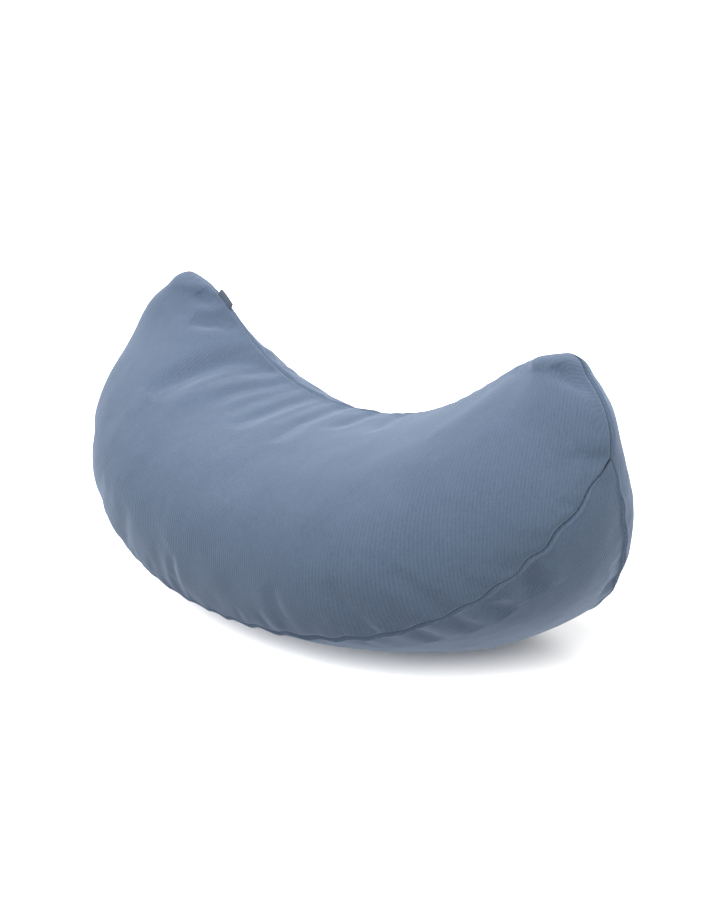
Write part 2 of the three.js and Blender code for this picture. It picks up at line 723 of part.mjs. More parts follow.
for (const kind of ["front", "back", "base"]) {
  const name = kind === "base" ? "base_gusset" : `${kind}_panel`;
  add(`cover_${name}`, panelGeometry(kind, COVER), COVER_BLUE, 0.9);
  add(`liner_${name}`, panelGeometry(kind, LINER), LINER_WHITE, 0.85);
}
add("bead_fill", fillGeometry(), BEAD_WHITE, 0.8);
add("side_label", labelGeometry(), 0x3c4048, 0.8);
add("zip_tape_upper", tapeGeometry("back", 1), ZIP_BLUE, 0.85);
add("zip_tape_lower", tapeGeometry("base", -1), ZIP_BLUE, 0.85);
add("zip_coil_upper", coil(1), ZIP_BLUE, 0.5);
add("zip_coil_lower", coil(-1), ZIP_BLUE, 0.5);
const stopFrom = COIL_HALF + STOP_GAP;
const stopTo = stopFrom + STOP_LENGTH;
add("zip_top_stop_upper", stopAt(stopFrom, stopTo, COIL_SLIT, COIL_OUT), ZIP_METAL, 0.4, 0.9);
add("zip_top_stop_lower", stopAt(stopFrom, stopTo, -COIL_OUT, -COIL_SLIT), ZIP_METAL, 0.4, 0.9);
add("zip_bottom_stop", stopAt(-stopTo, -stopFrom, -COIL_OUT, COIL_OUT), ZIP_METAL, 0.4, 0.9);
add("zip_slider", sliderGeometry().applyMatrix4(sliderMatrix), ZIP_METAL, 0.4, 0.9);
add("zip_pull_tab", tabGeometry().applyMatrix4(tabMatrix), ZIP_METAL, 0.4, 0.9);

// The row's origin is under the middle of the cushion's box.
const bounds = new THREE.Box3().setFromObject(part);
const middle = bounds.getCenter(V(0, 0, 0));
part.children.forEach((mesh) => mesh.geometry.translate(0, -middle.y, 0));

export default part;
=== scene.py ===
import math

import bpy
import numpy as np
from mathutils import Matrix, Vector
from mathutils.kdtree import KDTree


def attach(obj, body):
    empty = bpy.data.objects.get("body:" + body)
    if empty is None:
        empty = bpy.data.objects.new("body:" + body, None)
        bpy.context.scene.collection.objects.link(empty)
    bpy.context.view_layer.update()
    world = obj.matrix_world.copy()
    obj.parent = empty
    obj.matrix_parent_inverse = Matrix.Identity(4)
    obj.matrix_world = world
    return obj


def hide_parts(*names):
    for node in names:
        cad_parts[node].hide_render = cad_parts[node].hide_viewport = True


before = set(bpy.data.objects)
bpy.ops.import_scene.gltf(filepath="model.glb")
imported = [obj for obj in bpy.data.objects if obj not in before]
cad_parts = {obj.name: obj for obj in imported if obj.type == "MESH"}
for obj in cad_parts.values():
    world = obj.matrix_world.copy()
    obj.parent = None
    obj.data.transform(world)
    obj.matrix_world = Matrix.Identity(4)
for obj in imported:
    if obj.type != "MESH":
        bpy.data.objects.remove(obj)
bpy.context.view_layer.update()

# Crescent lumbar cushion. Shapes are worked out in millimetres and written in metres.
MM = 0.001

# ---- the cushion's shape, as in the CAD part ----
SIDE_HALF_WIDTH = 218
SIDE_HEIGHT = 133
HORN_HALF_SPAN = 176
HORN_HEIGHT = 186
NOTCH_HEIGHT = 123.5
BASE_DEPTH = 173
LEAN = math.radians(7)
BULGE = {"front": 0.356, "back": 0.3, "base": 0.09}
FLOOR_FLAT = 3
SIDE_ANGLE, HORN_OUTER_ANGLE, HORN_INNER_ANGLE = 88.5, 150, 11.3
BASE_HANDLE = 0.16 * SIDE_HALF_WIDTH
SIDE_LOW_HANDLE = 0.718 * SIDE_HEIGHT
SIDE_HIGH_HANDLE = 0.478 * (HORN_HEIGHT - SIDE_HEIGHT)
HORN_OUTER_HANDLE = 0.498 * (HORN_HEIGHT - SIDE_HEIGHT)
NOTCH_HANDLE = 0.592 * HORN_HALF_SPAN
HORN_INNER_HANDLE = 0.32 * HORN_HALF_SPAN
BULGE_POWER, BULGE_CHORD = 1.1, 150
BELLY_LOW, BELLY_ROUND, BELLY_EDGE = 1.42, 2.07, 0.66
EDGE_STRETCH = 1.2
BOX_CENTRE_Y = 2.223  # the part's origin is under the middle of its box

# ---- cloth ----
COVER_THICK = 1.2
LINER_THICK = 0.6
LINER_DEPTH = 6.6
FILL_DEPTH = 7.6
FLAP = 2.4  # how far a turned edge goes into the seam
FLAP_SKIP = 7  # rows of the inner face left out beside a seam, where the turned edge is
SEAM_GAP = 0.05  # half the space between two turned edges
SEAM_WAVE = 1.25  # how far the seams wander sideways
WAVE_LENGTH = 23
GROOVE = 1.1
GROOVE_WIDTH = 1.15
RIDGE = 0.95  # the seam allowance shows as a thin ridge on one side
RIDGE_AT = 2.0
RIDGE_WIDTH = 0.85
SEAM_TINT = 2.2  # how far from a seam its wear and its painted shade reach
DETAIL_NARROW = 40  # seams get finer where a panel is narrower than this
SEAM_WAVE_REACH = 9  # how far from a seam its waves are felt
SIDE_BLEND = 11  # how far the change of width at the gusset's ends is smoothed out
SIDE_BLEND_REACH, SIDE_BLEND_EDGE = 34, 13  # where it is smoothed, along and off the seams
TIP_ROUND = 12  # the horn tips are blunted over this length
TIP_IN = 2.0  # and pushed in by this much
TIP_SWELL = 0.45  # and made this much plumper just below
LUMP = 1.1  # how far the loose filling pushes the cloth in and out
FOLD_FADE = 3.0  # folds die out this near a seam
FOLD_NARROW = 45  # and where a panel is narrower than this
FOLD_ZIP_CLEAR, FOLD_ZIP_FADE = 11, 16  # and beside the zip
FOLD_REACH = 4.6  # a fold is felt this many of its half widths away
BANK_AT, BANK_WIDTH = 2.1, 1.3  # its raised lip, in half widths
FLOOR_FADE = 6  # outward folds shrink below this height, over the floor
FLOOR_CLEAR = 0.05  # space between the cover and the floor
GUSSET_END = 1.2  # the gusset's grid stops this short of its points
COVER_CLEAR = 0.4  # least space between the cover, the liner and the beads

# ---- zip ----
ZIP_HALF = 90
ZIP_RADIUS = 410
ZIP_TAPER = 4  # the opening closes over this length
ZIP_CALM = 25  # and the seam is plain this far beyond it
OPENING_HALF = 4.8
COIL_HALF = 83
COIL_TOP, COIL_HEIGHT = -1.0, 2.05
COIL_PITCH = 1.3
COIL_WIRE = 0.29
STITCH = 2.6
STITCH_STEP = 3.3
STITCH_FROM_EDGE = 2.4
THREAD = 0.2
TUBE_SIDES = 6
COIL_STEPS = 14  # points in each turn
COIL_Q, COIL_EDGE = 1.72, 0.36  # a coil's middle and its inner edge, from the zip's middle

# ---- label ----
LABEL_U = -0.78
LABEL_LENGTH = 15.5
LABEL_REACH = 3.1
LABEL_THICK = 0.42
LABEL_FOLD = 0.45  # half height of the rounded fold
LABEL_ROOM = 0.62  # the seam opens this much for it

# ---- ribs in the knit ----
RIB_PITCH = 1.9 * MM
RIB_TURN = math.radians(17)  # how far the ribs lean in over the horns
RIB_TURN_FROM, RIB_TURN_OVER = 70, 120
RIB_PIVOT = 95
RIB_LEFT = 0.6  # the left horn's share of the lean
LOOP_PITCH = 0.9 * MM

rng = np.random.default_rng(20)


def unit(v):
    return v / np.maximum(np.linalg.norm(v, axis=-1, keepdims=True), 1e-9)


def dot(a, b):
    return (a * b).sum(-1, keepdims=True)


def smooth_step(x):
    x = np.clip(x, 0, 1)
    return x * x * (3 - 2 * x)


def relaxed(values, rounds):
    """Evens out values along their first axis, with both ends held."""
    values = values.copy()
    for _ in range(rounds):
        values[1:-1] = (values[:-2] + 2 * values[1:-1] + values[2:]) / 4
    return values


# ---- outline ----
def heading(degrees):
    return np.array([math.cos(math.radians(degrees)), math.sin(math.radians(degrees))])


def bezier(a, b, c, d):
    s = np.linspace(0, 1, 800)[:, None]
    return (1 - s) ** 3 * a + 3 * (1 - s) ** 2 * s * b + 3 * (1 - s) * s * s * c + s**3 * d


class Line:
    """A polyline read by its share of length."""

    def __init__(self, points):
        self.points = points
        steps = np.linalg.norm(np.diff(points, axis=0), axis=1)
        self.marks = np.concatenate([[0], np.cumsum(steps)])
        self.length = self.marks[-1]

    def at(self, share):
        d = np.asarray(share) * self.length
        columns = range(self.points.shape[1])
        return np.stack([np.interp(d, self.marks, self.points[:, k]) for k in columns], -1)


half_depth = BASE_DEPTH / 2
plane_stretch = math.hypot(SIDE_HEIGHT, half_depth) / SIDE_HEIGHT
turn = ZIP_HALF / ZIP_RADIUS
turns = np.linspace(0, turn, 300)
rise = ZIP_RADIUS * (1 - np.cos(turns)) / plane_stretch
arc = np.stack([ZIP_RADIUS * np.sin(turns), rise], 1)
arc_dir = unit(np.array([math.cos(turn), math.sin(turn) / plane_stretch]))
side = np.array([SIDE_HALF_WIDTH, SIDE_HEIGHT], float)
horn = np.array([HORN_HALF_SPAN, HORN_HEIGHT], float)
upright = heading(SIDE_ANGLE)
low = bezier(arc[-1], arc[-1] + arc_dir * BASE_HANDLE, side - upright * SIDE_LOW_HANDLE, side)
to_horn = heading(HORN_OUTER_ANGLE) * HORN_OUTER_HANDLE
high = bezier(side, side + upright * SIDE_HIGH_HANDLE, horn - to_horn, horn)
notch = np.array([[0, NOTCH_HEIGHT], [NOTCH_HANDLE, NOTCH_HEIGHT]])
to_horn = heading(HORN_INNER_ANGLE) * HORN_INNER_HANDLE
INNER = Line(bezier(*notch, horn - to_horn, horn))
OUTER = Line(np.concatenate([arc, low[1:], high[1:]]))
U_SIDE = (Line(arc).length + Line(low).length) / OUTER.length
U_ZIP = ZIP_HALF / OUTER.length


# ---- surfaces ----
def swell(t):
    """How far a panel swells out across its width, 1 where it is fullest."""
    across = np.abs(2 * t**BELLY_LOW - 1) ** BELLY_ROUND
    return np.maximum(0, 1 - across) ** BELLY_EDGE


def leaned(p):
    """Leans points back about the x axis."""
    c, s = math.cos(LEAN), math.sin(LEAN)
    x, y, z = p[..., 0], p[..., 1], p[..., 2]
    return np.stack([x, y * c + z * s, z * c - y * s], -1)


def raw_surface(kind, u, t):
    """Points of one of the three outer surfaces, u from -1 to 1 between the horn tips."""
    u, t = np.broadcast_arrays(u, t)
    a = np.abs(u)
    outer, inner = OUTER.at(a), INNER.at(a)
    half = half_depth * np.maximum(0, 1 - outer[..., 1] / SIDE_HEIGHT)
    half = np.where(a >= U_SIDE, 0, half)
    zero = np.zeros_like(half)
    if kind == "base":
        v = 2 * t - 1
        spot = outer + unit(outer - inner) * (BULGE["base"] * 2 * half * (1 - v * v))[..., None]
        p = np.stack([spot[..., 0], half * v, spot[..., 1]], -1)
    else:
        facing = -1 if kind == "front" else 1
        start = np.stack([inner[..., 0], zero, inner[..., 1]], -1)
        end = np.stack([outer[..., 0], facing * half, outer[..., 1]], -1)
        length = np.linalg.norm(end - start, axis=-1)
        chord = unit(end - start)
        out = np.array([0, facing, 0]) - facing * chord[..., 1:2] * chord
        rise = BULGE[kind] * length**BULGE_POWER * BULGE_CHORD ** (1 - BULGE_POWER)
        p = start + chord * (t * length)[..., None] + unit(out) * (rise * swell(t))[..., None]
    p[..., 0] *= np.where(u < 0, -1, 1)
    return leaned(p)


lowest = min(
    raw_surface(k, np.linspace(0, 0.5, 21)[:, None], np.linspace(0, 1, 21)[None])[..., 2].min()
    for k in BULGE
)
FLOOR_LEVEL = lowest + FLOOR_FLAT


def surface(kind, u, t):
    """The same points in the part's own frame, flat where they rest on the floor."""
    p = raw_surface(kind, u, t)
    p[..., 1] -= BOX_CENTRE_Y
    p[..., 2] = np.maximum(p[..., 2] - FLOOR_LEVEL, 0)
    return p


def face_normal(kind, u, t, h, k):
    """The outward normal at (u, t), from points h and k away."""
    tc = np.clip(t, k, 1 - k)
    du = surface(kind, u + h, tc) - surface(kind, u - h, tc)
    dt = surface(kind, u, tc + k) - surface(kind, u, tc - k)
    return unit(np.cross(du, dt)) * (1 if kind == "back" else -1)


def columns(side_steps, horn_steps, last):
    side_part = np.linspace(0, U_SIDE, side_steps + 1)
    horn_part = np.linspace(U_SIDE, last, horn_steps + 1)[1:]
    half = np.concatenate([side_part, horn_part])
    return np.concatenate([-half[:0:-1], half])


def rounded_steps(n):
    """Shares from 0 to 1 that lie closer together at both ends."""
    return 0.5 - 0.5 * np.cos(np.linspace(0, math.pi, n))


EDGE_ROWS = np.array([0, 0.3, 0.6, 0.9, 1.3, 1.7, 2.1, 2.6, 3.3, 4.3, 5.6, 7.2, 9.2])
MIDDLE_ROWS = 92
SIDE_COLUMNS, HORN_COLUMNS = 170, 44
US = columns(SIDE_COLUMNS, HORN_COLUMNS, 0.9993)


def zip_opening(u):
    """How far the hem stands back from the middle of the zip."""
    past = (np.abs(u) - U_ZIP) * OUTER.length
    return SEAM_GAP + (OPENING_HALF - SEAM_GAP) * (1 - smooth_step(past / ZIP_TAPER))


class Panel:
    """The outer face of one panel as a grid: columns along the seams, rows across."""

    def __init__(self, kind):
        self.kind = kind
        us = US
        if kind == "base":
            last = U_SIDE - GUSSET_END / OUTER.length
            us = np.clip(us[np.abs(us) <= U_SIDE + 1e-9], -last, last)
        self.u = us
        table = rounded_steps(700)
        points = surface(kind, us[:, None], table[None])
        steps = np.linalg.norm(np.diff(points, axis=1), axis=2)
        marks = np.concatenate([np.zeros((len(us), 1)), np.cumsum(steps, 1)], 1)
        self.width = marks[:, -1]
        opening = np.full(len(us), SEAM_GAP) if kind == "front" else zip_opening(us)
        opening = np.minimum(opening, self.width * 0.25)
        self.scale = np.clip(self.width / DETAIL_NARROW, 0.01, 1)
        rows = []
        for i, width in enumerate(self.width):
            edge = EDGE_ROWS * self.scale[i]
            room = width - opening[i]
            rest = np.linspace(edge[-1], room - edge[-1], MIDDLE_ROWS + 2)[1:-1]
            rows.append(np.concatenate([edge, rest, room - edge[::-1]]))
        self.down = np.array(rows)  # distance from the first edge
        self.t = np.array([np.interp(d, m, table) for d, m in zip(self.down, marks)])
        self.up = self.width[:, None] - self.down  # distance from the last seam line
        self.base = self.blended(surface(kind, us[:, None], self.t))
        self.normal = self.normals(self.base)
        self.point = self.base.copy()

    def blended(self, grid):
        """Smooths out the line that the gusset's end would leave across the panel."""
        if self.kind == "base":
            return grid
        step = U_SIDE * OUTER.length / SIDE_COLUMNS
        soft = relaxed(grid, int(2 * (SIDE_BLEND / step) ** 2))
        edge = np.minimum(self.down, self.up)
        past = (np.abs(self.u) - U_SIDE) * OUTER.length
        share = np.exp(-((past / SIDE_BLEND_REACH) ** 2))[:, None]
        share = share * (1 - np.exp(-((edge / SIDE_BLEND_EDGE) ** 2)))
        return grid + (soft - grid) * share[..., None]

    def normals(self, grid):
        n = np.cross(np.gradient(grid, axis=0), np.gradient(grid, axis=1))
        if self.kind != "back":
            n = -n
        n[0], n[-1] = n[1], n[-2]
        return unit(n)

    def path(self, spots, n=36):
        """Points and outward normals of the undisturbed face along (u, t) spots."""
        soft = relaxed(Line(np.array(spots, float)).at(np.linspace(0, 1, n)), 6)
        u, t = soft[:, 0], np.clip(soft[:, 1], 0, 1)
        return surface(self.kind, u, t), face_normal(self.kind, u, t, 0.002, 0.01)

    def spot(self, u, distance, last):
        """(u, t) at a distance from the first or last edge."""
        i = int(np.abs(self.u - u).argmin())
        d = self.width[i] - distance if last else distance
        return u, float(np.interp(d, self.down[i], self.t[i]))


PANELS = {kind: Panel(kind) for kind in ("front", "back", "base")}
front, back, base = PANELS.values()


# ---- soft noise ----
def soft_noise(p, size, seed):
    """Smooth noise about -1 to 1 at points p, its lumps about size mm wide."""
    lattice = np.random.default_rng(seed).uniform(-1, 1, (32, 32, 32))
    q = p / size + 40.5
    cell = np.floor(q).astype(int)
    f = smooth_step(q - cell)
    total = 0
    for corner in range(8):
        shift = np.array([corner & 1, corner >> 1 & 1, corner >> 2])
        k = (cell + shift) % 32
        share = np.where(shift == 1, f, 1 - f).prod(-1)
        total = total + share * lattice[k[..., 0], k[..., 1], k[..., 2]]
    return total


# ---- creases ----
# Each line: depth in mm, half width in mm, height of the lip beside it as a share of the depth
# (its sign picks the side), depth left at the start and at the end, then (u, t) spots.
CREASES = {}
CREASES["front"] = [
    # the big soft fold under the left horn
    (5.8, 9.5, 0.35, 0.35, 0, (-0.42, 0.03), (-0.465, 0.05), (-0.505, 0.08), (-0.52, 0.14),
     (-0.525, 0.21), (-0.52, 0.28), (-0.51, 0.37), (-0.5, 0.46)),
    # dimples on the left horn
    (4.4, 6.0, 0.35, 0.2, 0.4, (-0.74, 0.2), (-0.715, 0.13), (-0.695, 0.08), (-0.665, 0.05)),
    (3.2, 4.4, 0.35, 0.2, 0.5, (-0.855, 0.15), (-0.82, 0.11), (-0.78, 0.07)),
    (0.7, 6.5, 0.2, 0.2, 0, (-0.85, 0.46), (-0.855, 0.4), (-0.87, 0.31)),
    # folds that fan out from the notch seam
    (1.6, 5.6, 0.3, 0.6, 0, (-0.405, 0), (-0.425, 0.09), (-0.43, 0.2), (-0.415, 0.32)),
    (2.1, 5.8, 0.3, 0.7, 0, (-0.3, 0), (-0.335, 0.12), (-0.34, 0.21), (-0.34, 0.31)),
    (1.4, 5.2, 0.3, 0.8, 0, (-0.24, 0), (-0.255, 0.1), (-0.25, 0.2), (-0.24, 0.3)),
    (2.7, 6.2, 0.4, 0.7, 0, (-0.175, 0), (-0.17, 0.14), (-0.165, 0.24), (-0.15, 0.35)),
    (1.3, 4.8, 0.35, 0.8, 0, (-0.11, 0), (-0.095, 0.07), (-0.08, 0.17), (-0.06, 0.25)),
    (2.6, 6.0, 0.4, 0.7, 0, (-0.04, 0), (-0.005, 0.13), (-0.01, 0.2), (0.015, 0.26),
     (0.04, 0.35)),
    (2.0, 5.0, 0.45, 0.8, 0, (0.115, 0), (0.14, 0.11), (0.15, 0.2)),
    (1.8, 5.6, 0.4, 0.8, 0, (0.25, 0), (0.29, 0.1), (0.34, 0.2)),
    # soft ridge over the right half of the notch
    (-1.6, 11.0, 0, 0.1, 0, (0.8, 0.12), (0.74, 0.2), (0.67, 0.28), (0.58, 0.36)),
    # dimple in the right horn
    (4.0, 5.2, 0.4, 0.1, 0.4, (0.93, 0.5), (0.925, 0.74), (0.92, 0.86), (0.91, 0.95)),
    (1.2, 5.0, 0.3, 0.8, 0, (0.8, 1), (0.79, 0.93), (0.77, 0.86)),
    # the plump top of the right horn
    (-1.8, 11.0, 0, 0.4, 0.2, (0.975, 0.15), (0.945, 0.25), (0.88, 0.32)),
    # puckers low on the left
    (1.2, 6.0, 0.2, 0.8, 0, (-0.15, 1), (-0.135, 0.93), (-0.12, 0.86)),
    (1.6, 4.5, 0.4, 0.8, 0, (-0.1, 1), (-0.1, 0.95), (-0.09, 0.9)),
    (1.1, 6.2, 0.2, 0.8, 0, (-0.3, 1), (-0.28, 0.93), (-0.27, 0.84)),
    (1.1, 6.8, 0.2, 0.8, 0, (-0.43, 1), (-0.42, 0.94), (-0.4, 0.84)),
    (1.1, 6.8, 0.2, 0.8, 0, (-0.58, 1), (-0.57, 0.93), (-0.55, 0.83)),
    # puckers up from the front and gusset seam
    (1.4, 5.0, 0.5, 0.8, 0, (0.2, 1), (0.2, 0.95), (0.21, 0.9)),
    (1.4, 5.5, 0.5, 0.8, 0, (0.36, 1), (0.355, 0.95), (0.35, 0.88)),
    (1.3, 5.5, 0.5, 0.8, 0, (0.5, 1), (0.49, 0.94), (0.48, 0.88)),
]
CREASES["base"] = [
    # dimples in the gusset beside the front seam
    (4.2, 6.0, 0.45, 0.5, 0, (0.612, 0), (0.602, 0.09), (0.585, 0.2), (0.57, 0.27)),
    (3.8, 6.0, 0.45, 0.5, 0, (0.545, 0), (0.528, 0.1), (0.525, 0.18), (0.52, 0.25)),
    (2.5, 5.6, 0.45, 0.5, 0, (0.49, 0), (0.472, 0.12), (0.468, 0.22)),
    (2.0, 5.4, 0.45, 0.5, 0, (0.43, 0), (0.41, 0.1), (0.4, 0.18)),
    (2.4, 6.0, 0.4, 0.5, 0, (-0.6, 0), (-0.59, 0.1), (-0.575, 0.22)),
    (2.2, 6.0, 0.4, 0.5, 0, (-0.5, 0), (-0.48, 0.12), (-0.47, 0.2)),
    (1.3, 6.0, 0.4, 0.4, 0, (0.65, 1), (0.625, 0.98), (0.605, 0.96), (0.59, 0.86)),
    (1.5, 5.6, 0.4, 0.4, 0, (0.58, 1), (0.565, 0.93), (0.555, 0.84)),
    (1.9, 6.0, 0.4, 0.5, 0, (-0.55, 1), (-0.54, 0.9), (-0.53, 0.8)),
]
CREASES["back"] = [
    # the back panel, whose top shows in bumps behind the notch seam
    (-1.8, 5.5, 0, 0.3, 0, (-0.52, 0.03), (-0.525, 0.07), (-0.53, 0.14)),
    (-1.8, 5.0, 0, 0.3, 0, (-0.43, 0.03), (-0.43, 0.07), (-0.43, 0.14)),
    (3.2, 7.0, 0.45, 0.4, 0, (0.5, 0), (0.53, 0.08), (0.545, 0.2), (0.53, 0.36)),
    (2.8, 5.5, 0.45, 0.5, 0, (-0.475, 0), (-0.49, 0.09), (-0.5, 0.2), (-0.49, 0.34)),
    (1.8, 4.8, 0.5, 0.8, 0, (0.33, 0), (0.33, 0.08), (0.31, 0.22)),
    (2.2, 5.2, 0.5, 0.8, 0, (0.16, 0), (0.14, 0.1), (0.09, 0.26)),
    (1.8, 4.8, 0.5, 0.8, 0, (0.02, 0), (0, 0.08), (-0.04, 0.2)),
    (2.2, 5.4, 0.5, 0.8, 0, (-0.12, 0), (-0.13, 0.1), (-0.16, 0.26)),
    (1.8, 4.8, 0.5, 0.8, 0, (-0.3, 0), (-0.31, 0.08), (-0.3, 0.22)),
    (2.8, 6.0, 0.3, 0.2, 0.3, (0.74, 0.2), (0.72, 0.12), (0.7, 0.05)),
    (2.8, 6.0, 0.3, 0, 0.5, (-0.9, 0.6), (-0.92, 0.8), (-0.92, 1)),
    (1.8, 6.0, 0.4, 0.7, 0, (0.42, 1), (0.41, 0.93), (0.4, 0.84)),
    (1.8, 6.0, 0.4, 0.7, 0, (-0.4, 1), (-0.4, 0.93), (-0.38, 0.84)),
    (2.0, 6.0, 0.4, 0.7, 0, (-0.6, 1), (-0.58, 0.93), (-0.56, 0.84)),
]


def add_puckers():
    """Adds short uneven creases that run off the seams."""
    for kind, last, step, reach in (
        ("front", False, 30, 0.9), ("back", False, 24, 0.9),
        ("front", True, 21, 0.97), ("back", True, 21, 0.97),
        ("base", False, 21, U_SIDE - 0.06), ("base", True, 21, U_SIDE - 0.06),
    ):  # which panel and edge, their spacing in mm, and how far they go towards the horns
        panel = PANELS[kind]
        length = OUTER.length if last or kind == "base" else INNER.length
        u = -reach
        while u < reach:
            u += step * rng.uniform(0.6, 1.5) / length
            depth, width = rng.uniform(0.25, 0.75), rng.uniform(2.6, 4.4)
            depth *= 1 if last or kind == "base" else 0.5  # the notch seam is smoother
            run, slant = rng.uniform(9, 24), rng.uniform(-0.35, 0.35)
            lip = rng.choice([-1, 1]) * rng.uniform(0.3, 0.6)
            if abs(u) > reach:
                break
            i = int(np.abs(panel.u - u).argmin())
            run = min(run, 0.3 * panel.width[i])
            spots = [
                panel.spot(u + slant * d / length, d, last) for d in (0, run * 0.35, run * 0.7, run)
            ]
            CREASES[kind].append((depth, width, lip, 0.9, 0, *spots))


def press_crease(panel, height, crease):
    """Adds a crease to the panel's grid of heights."""
    depth, width, lip, at_start, at_end, *spots = crease
    path, normals = panel.path(spots)
    reach = FOLD_REACH * width
    near = ((panel.base > path.min(0) - reach) & (panel.base < path.max(0) + reach)).all(-1)
    if not near.any():
        return
    p = panel.base[near]
    gap = np.linalg.norm(p[:, None] - path[None], axis=2)
    k = gap.argmin(1)
    d = gap[np.arange(len(k)), k]
    beside = np.cross(normals, unit(np.gradient(path, axis=0)))
    signed = ((p - path[k]) * beside[k]).sum(1)
    share = k / (len(path) - 1)
    arch = np.sin(math.pi * share) ** 0.7
    ends = np.where(share < 0.5, at_start, at_end)
    strength = ends + (1 - ends) * arch
    offset = signed * np.sign(lip) if lip else signed
    slack = 0.7 * smooth_step(offset / width) if lip else 0  # the lower wall slopes more gently
    valley = np.exp(-((d / (width * (1 + slack))) ** 2))
    beyond = np.sqrt(np.maximum(d * d - signed * signed, 0))
    bank = abs(lip) * np.exp(-(((offset / width - BANK_AT) / BANK_WIDTH) ** 2))
    bank = bank * np.exp(-((beyond / width) ** 2))
    height[near] += depth * strength * (bank - valley)


# ---- seams ----
is_side = np.abs(US) > U_SIDE + 1e-9
inner_columns = np.flatnonzero(~is_side)


def seam_out(edge_panel, row):
    """The direction that faces out of a seam, per column."""
    n = front.normal[:, row] + back.normal[:, row]
    if row == -1:
        gusset_row = 0 if edge_panel.kind == "front" else -1
        n[inner_columns] = edge_panel.normal[inner_columns, -1] + base.normal[:, gusset_row]
    return unit(relaxed(unit(n), 3))


def wander(seed):
    """A smooth uneven wave along the seams, one value per column."""
    p = np.stack([US * OUTER.length, US * 0, US * 0], -1)
    phase = US * OUTER.length / WAVE_LENGTH + 0.55 * soft_noise(p, 38, seed)
    size = 0.75 + 0.5 * soft_noise(p, 31, seed + 40)
    return size * np.sin(2 * math.pi * phase) + 0.2 * soft_noise(p, WAVE_LENGTH * 0.45, seed + 1)


near_zip = 1 - smooth_step((np.abs(US) - U_ZIP) * OUTER.length / ZIP_CALM)
SEAM_OUT, SEAM_SHIFT = {}, {}
for name, panel, row, seed, amount in (
    ("notch", front, 0, 3, 0.2), ("front", front, -1, 5, 1), ("back", back, -1, 7, 0.6)
):
    out = SEAM_OUT[name] = seam_out(panel, row)
    line = surface(panel.kind, US, np.full(len(US), float(abs(row))))
    lateral = unit(np.cross(unit(np.gradient(line, axis=0)), out))
    lateral[0], lateral[-1] = lateral[1], lateral[-2]
    calm = smooth_step((1 - np.abs(US)) / 0.06) * ((1 - near_zip) if name == "back" else 1)
    if name != "notch":
        calm = np.where(is_side, 0.0, calm * smooth_step((U_SIDE - np.abs(US)) / 0.04))
    sideways = lateral * (wander(seed) * amount * SEAM_WAVE * calm)[:, None]
    inward = out * (wander(seed + 20) * 0.5 * amount * calm)[:, None]
    SEAM_SHIFT[name] = sideways + inward

beyond_label = np.abs((US - LABEL_U) * INNER.length) - LABEL_LENGTH / 2
label_room = LABEL_ROOM * np.exp(-np.maximum(0, beyond_label) / 0.8)


def seam_of(kind, last):
    """(seam name, columns) that a panel's edge lies on."""
    if kind == "base":
        return ("back" if last else "front"), inner_columns
    return (kind if last else "notch"), np.arange(len(US))


def blunted(p):
    """Pushes the sharp horn tips in and rounds them off."""
    for mirror in (-1, 1):
        tip = surface("front", mirror * 1.0, 0.0)
        inside = surface("front", mirror * 0.86, 0.5)
        middle = (inside + surface("back", mirror * 0.86, 0.5)) / 2
        along = unit(tip - middle)
        s = dot(p - tip, along)
        away = np.linalg.norm(p - tip, axis=-1, keepdims=True)
        x = np.clip((s + TIP_ROUND) / TIP_ROUND, 0, 1)
        near = (away < 4 * TIP_ROUND) & (s > -TIP_ROUND)
        pushed = -TIP_ROUND + (TIP_ROUND - TIP_IN) * (x + x * x - x**3) - s
        centre = tip + along * s
        full = 1 + TIP_SWELL * np.exp(-(((s + 0.45 * TIP_ROUND) / (0.7 * TIP_ROUND)) ** 2))
        widened = (p - centre) * (full - 1)
        close = np.exp(-((away / (1.6 * TIP_ROUND)) ** 4))
        p = p + widened * close + along * np.where(near, pushed, 0)
    return p


def shape_panel(panel):
    """Gives the outer face its lumps, folds, seam waves, grooves and ridges."""
    kind = panel.kind
    height = LUMP * soft_noise(panel.base, 46, 11) + 0.5 * LUMP * soft_noise(panel.base, 21, 12)
    height += 0.12 * soft_noise(panel.base, 7, 13)
    for crease in CREASES[kind]:
        press_crease(panel, height, crease)
    edge = np.minimum(panel.down, panel.up)
    height *= 1 - np.exp(-((edge / FOLD_FADE) ** 2))
    height *= np.clip(panel.width / FOLD_NARROW, 0, 1)[:, None]
    if kind != "front":
        along = (np.abs(panel.u) - U_ZIP) * OUTER.length
        far = np.hypot(np.maximum(along, 0)[:, None], np.maximum(panel.up - FOLD_ZIP_CLEAR, 0))
        height *= smooth_step(far / FOLD_ZIP_FADE)
    floor_near = smooth_step(panel.base[..., 2] / FLOOR_FADE)
    height = np.where(height < 0, height, height * floor_near)
    panel.point = panel.base + panel.normal * height[..., None]
    k = panel.scale[:, None]
    for last in (False, True):
        name, cols = seam_of(kind, last)
        away = panel.up if last else panel.down
        out = SEAM_OUT[name][cols][:, None]
        spread_out = np.exp(-((away / SEAM_WAVE_REACH) ** 2))[..., None]
        panel.point += SEAM_SHIFT[name][cols][:, None] * spread_out
        size = k * (1 - near_zip[cols][:, None]) if name == "back" else k
        dip = GROOVE * size * np.exp(-((away / (GROOVE_WIDTH * k)) ** 2))
        panel.point -= out * dip[..., None]
        if kind != "front":
            up = RIDGE * size * np.exp(-(((away - RIDGE_AT * k) / (RIDGE_WIDTH * k)) ** 2))
            if kind == "back" and last:
                up *= is_side[cols][:, None]
            panel.point += panel.normal * up[..., None]
    panel.point = blunted(panel.point)
    panel.point[..., 2] = np.maximum(panel.point[..., 2], FLOOR_CLEAR)


add_puckers()
for panel in PANELS.values():
    shape_panel(panel)


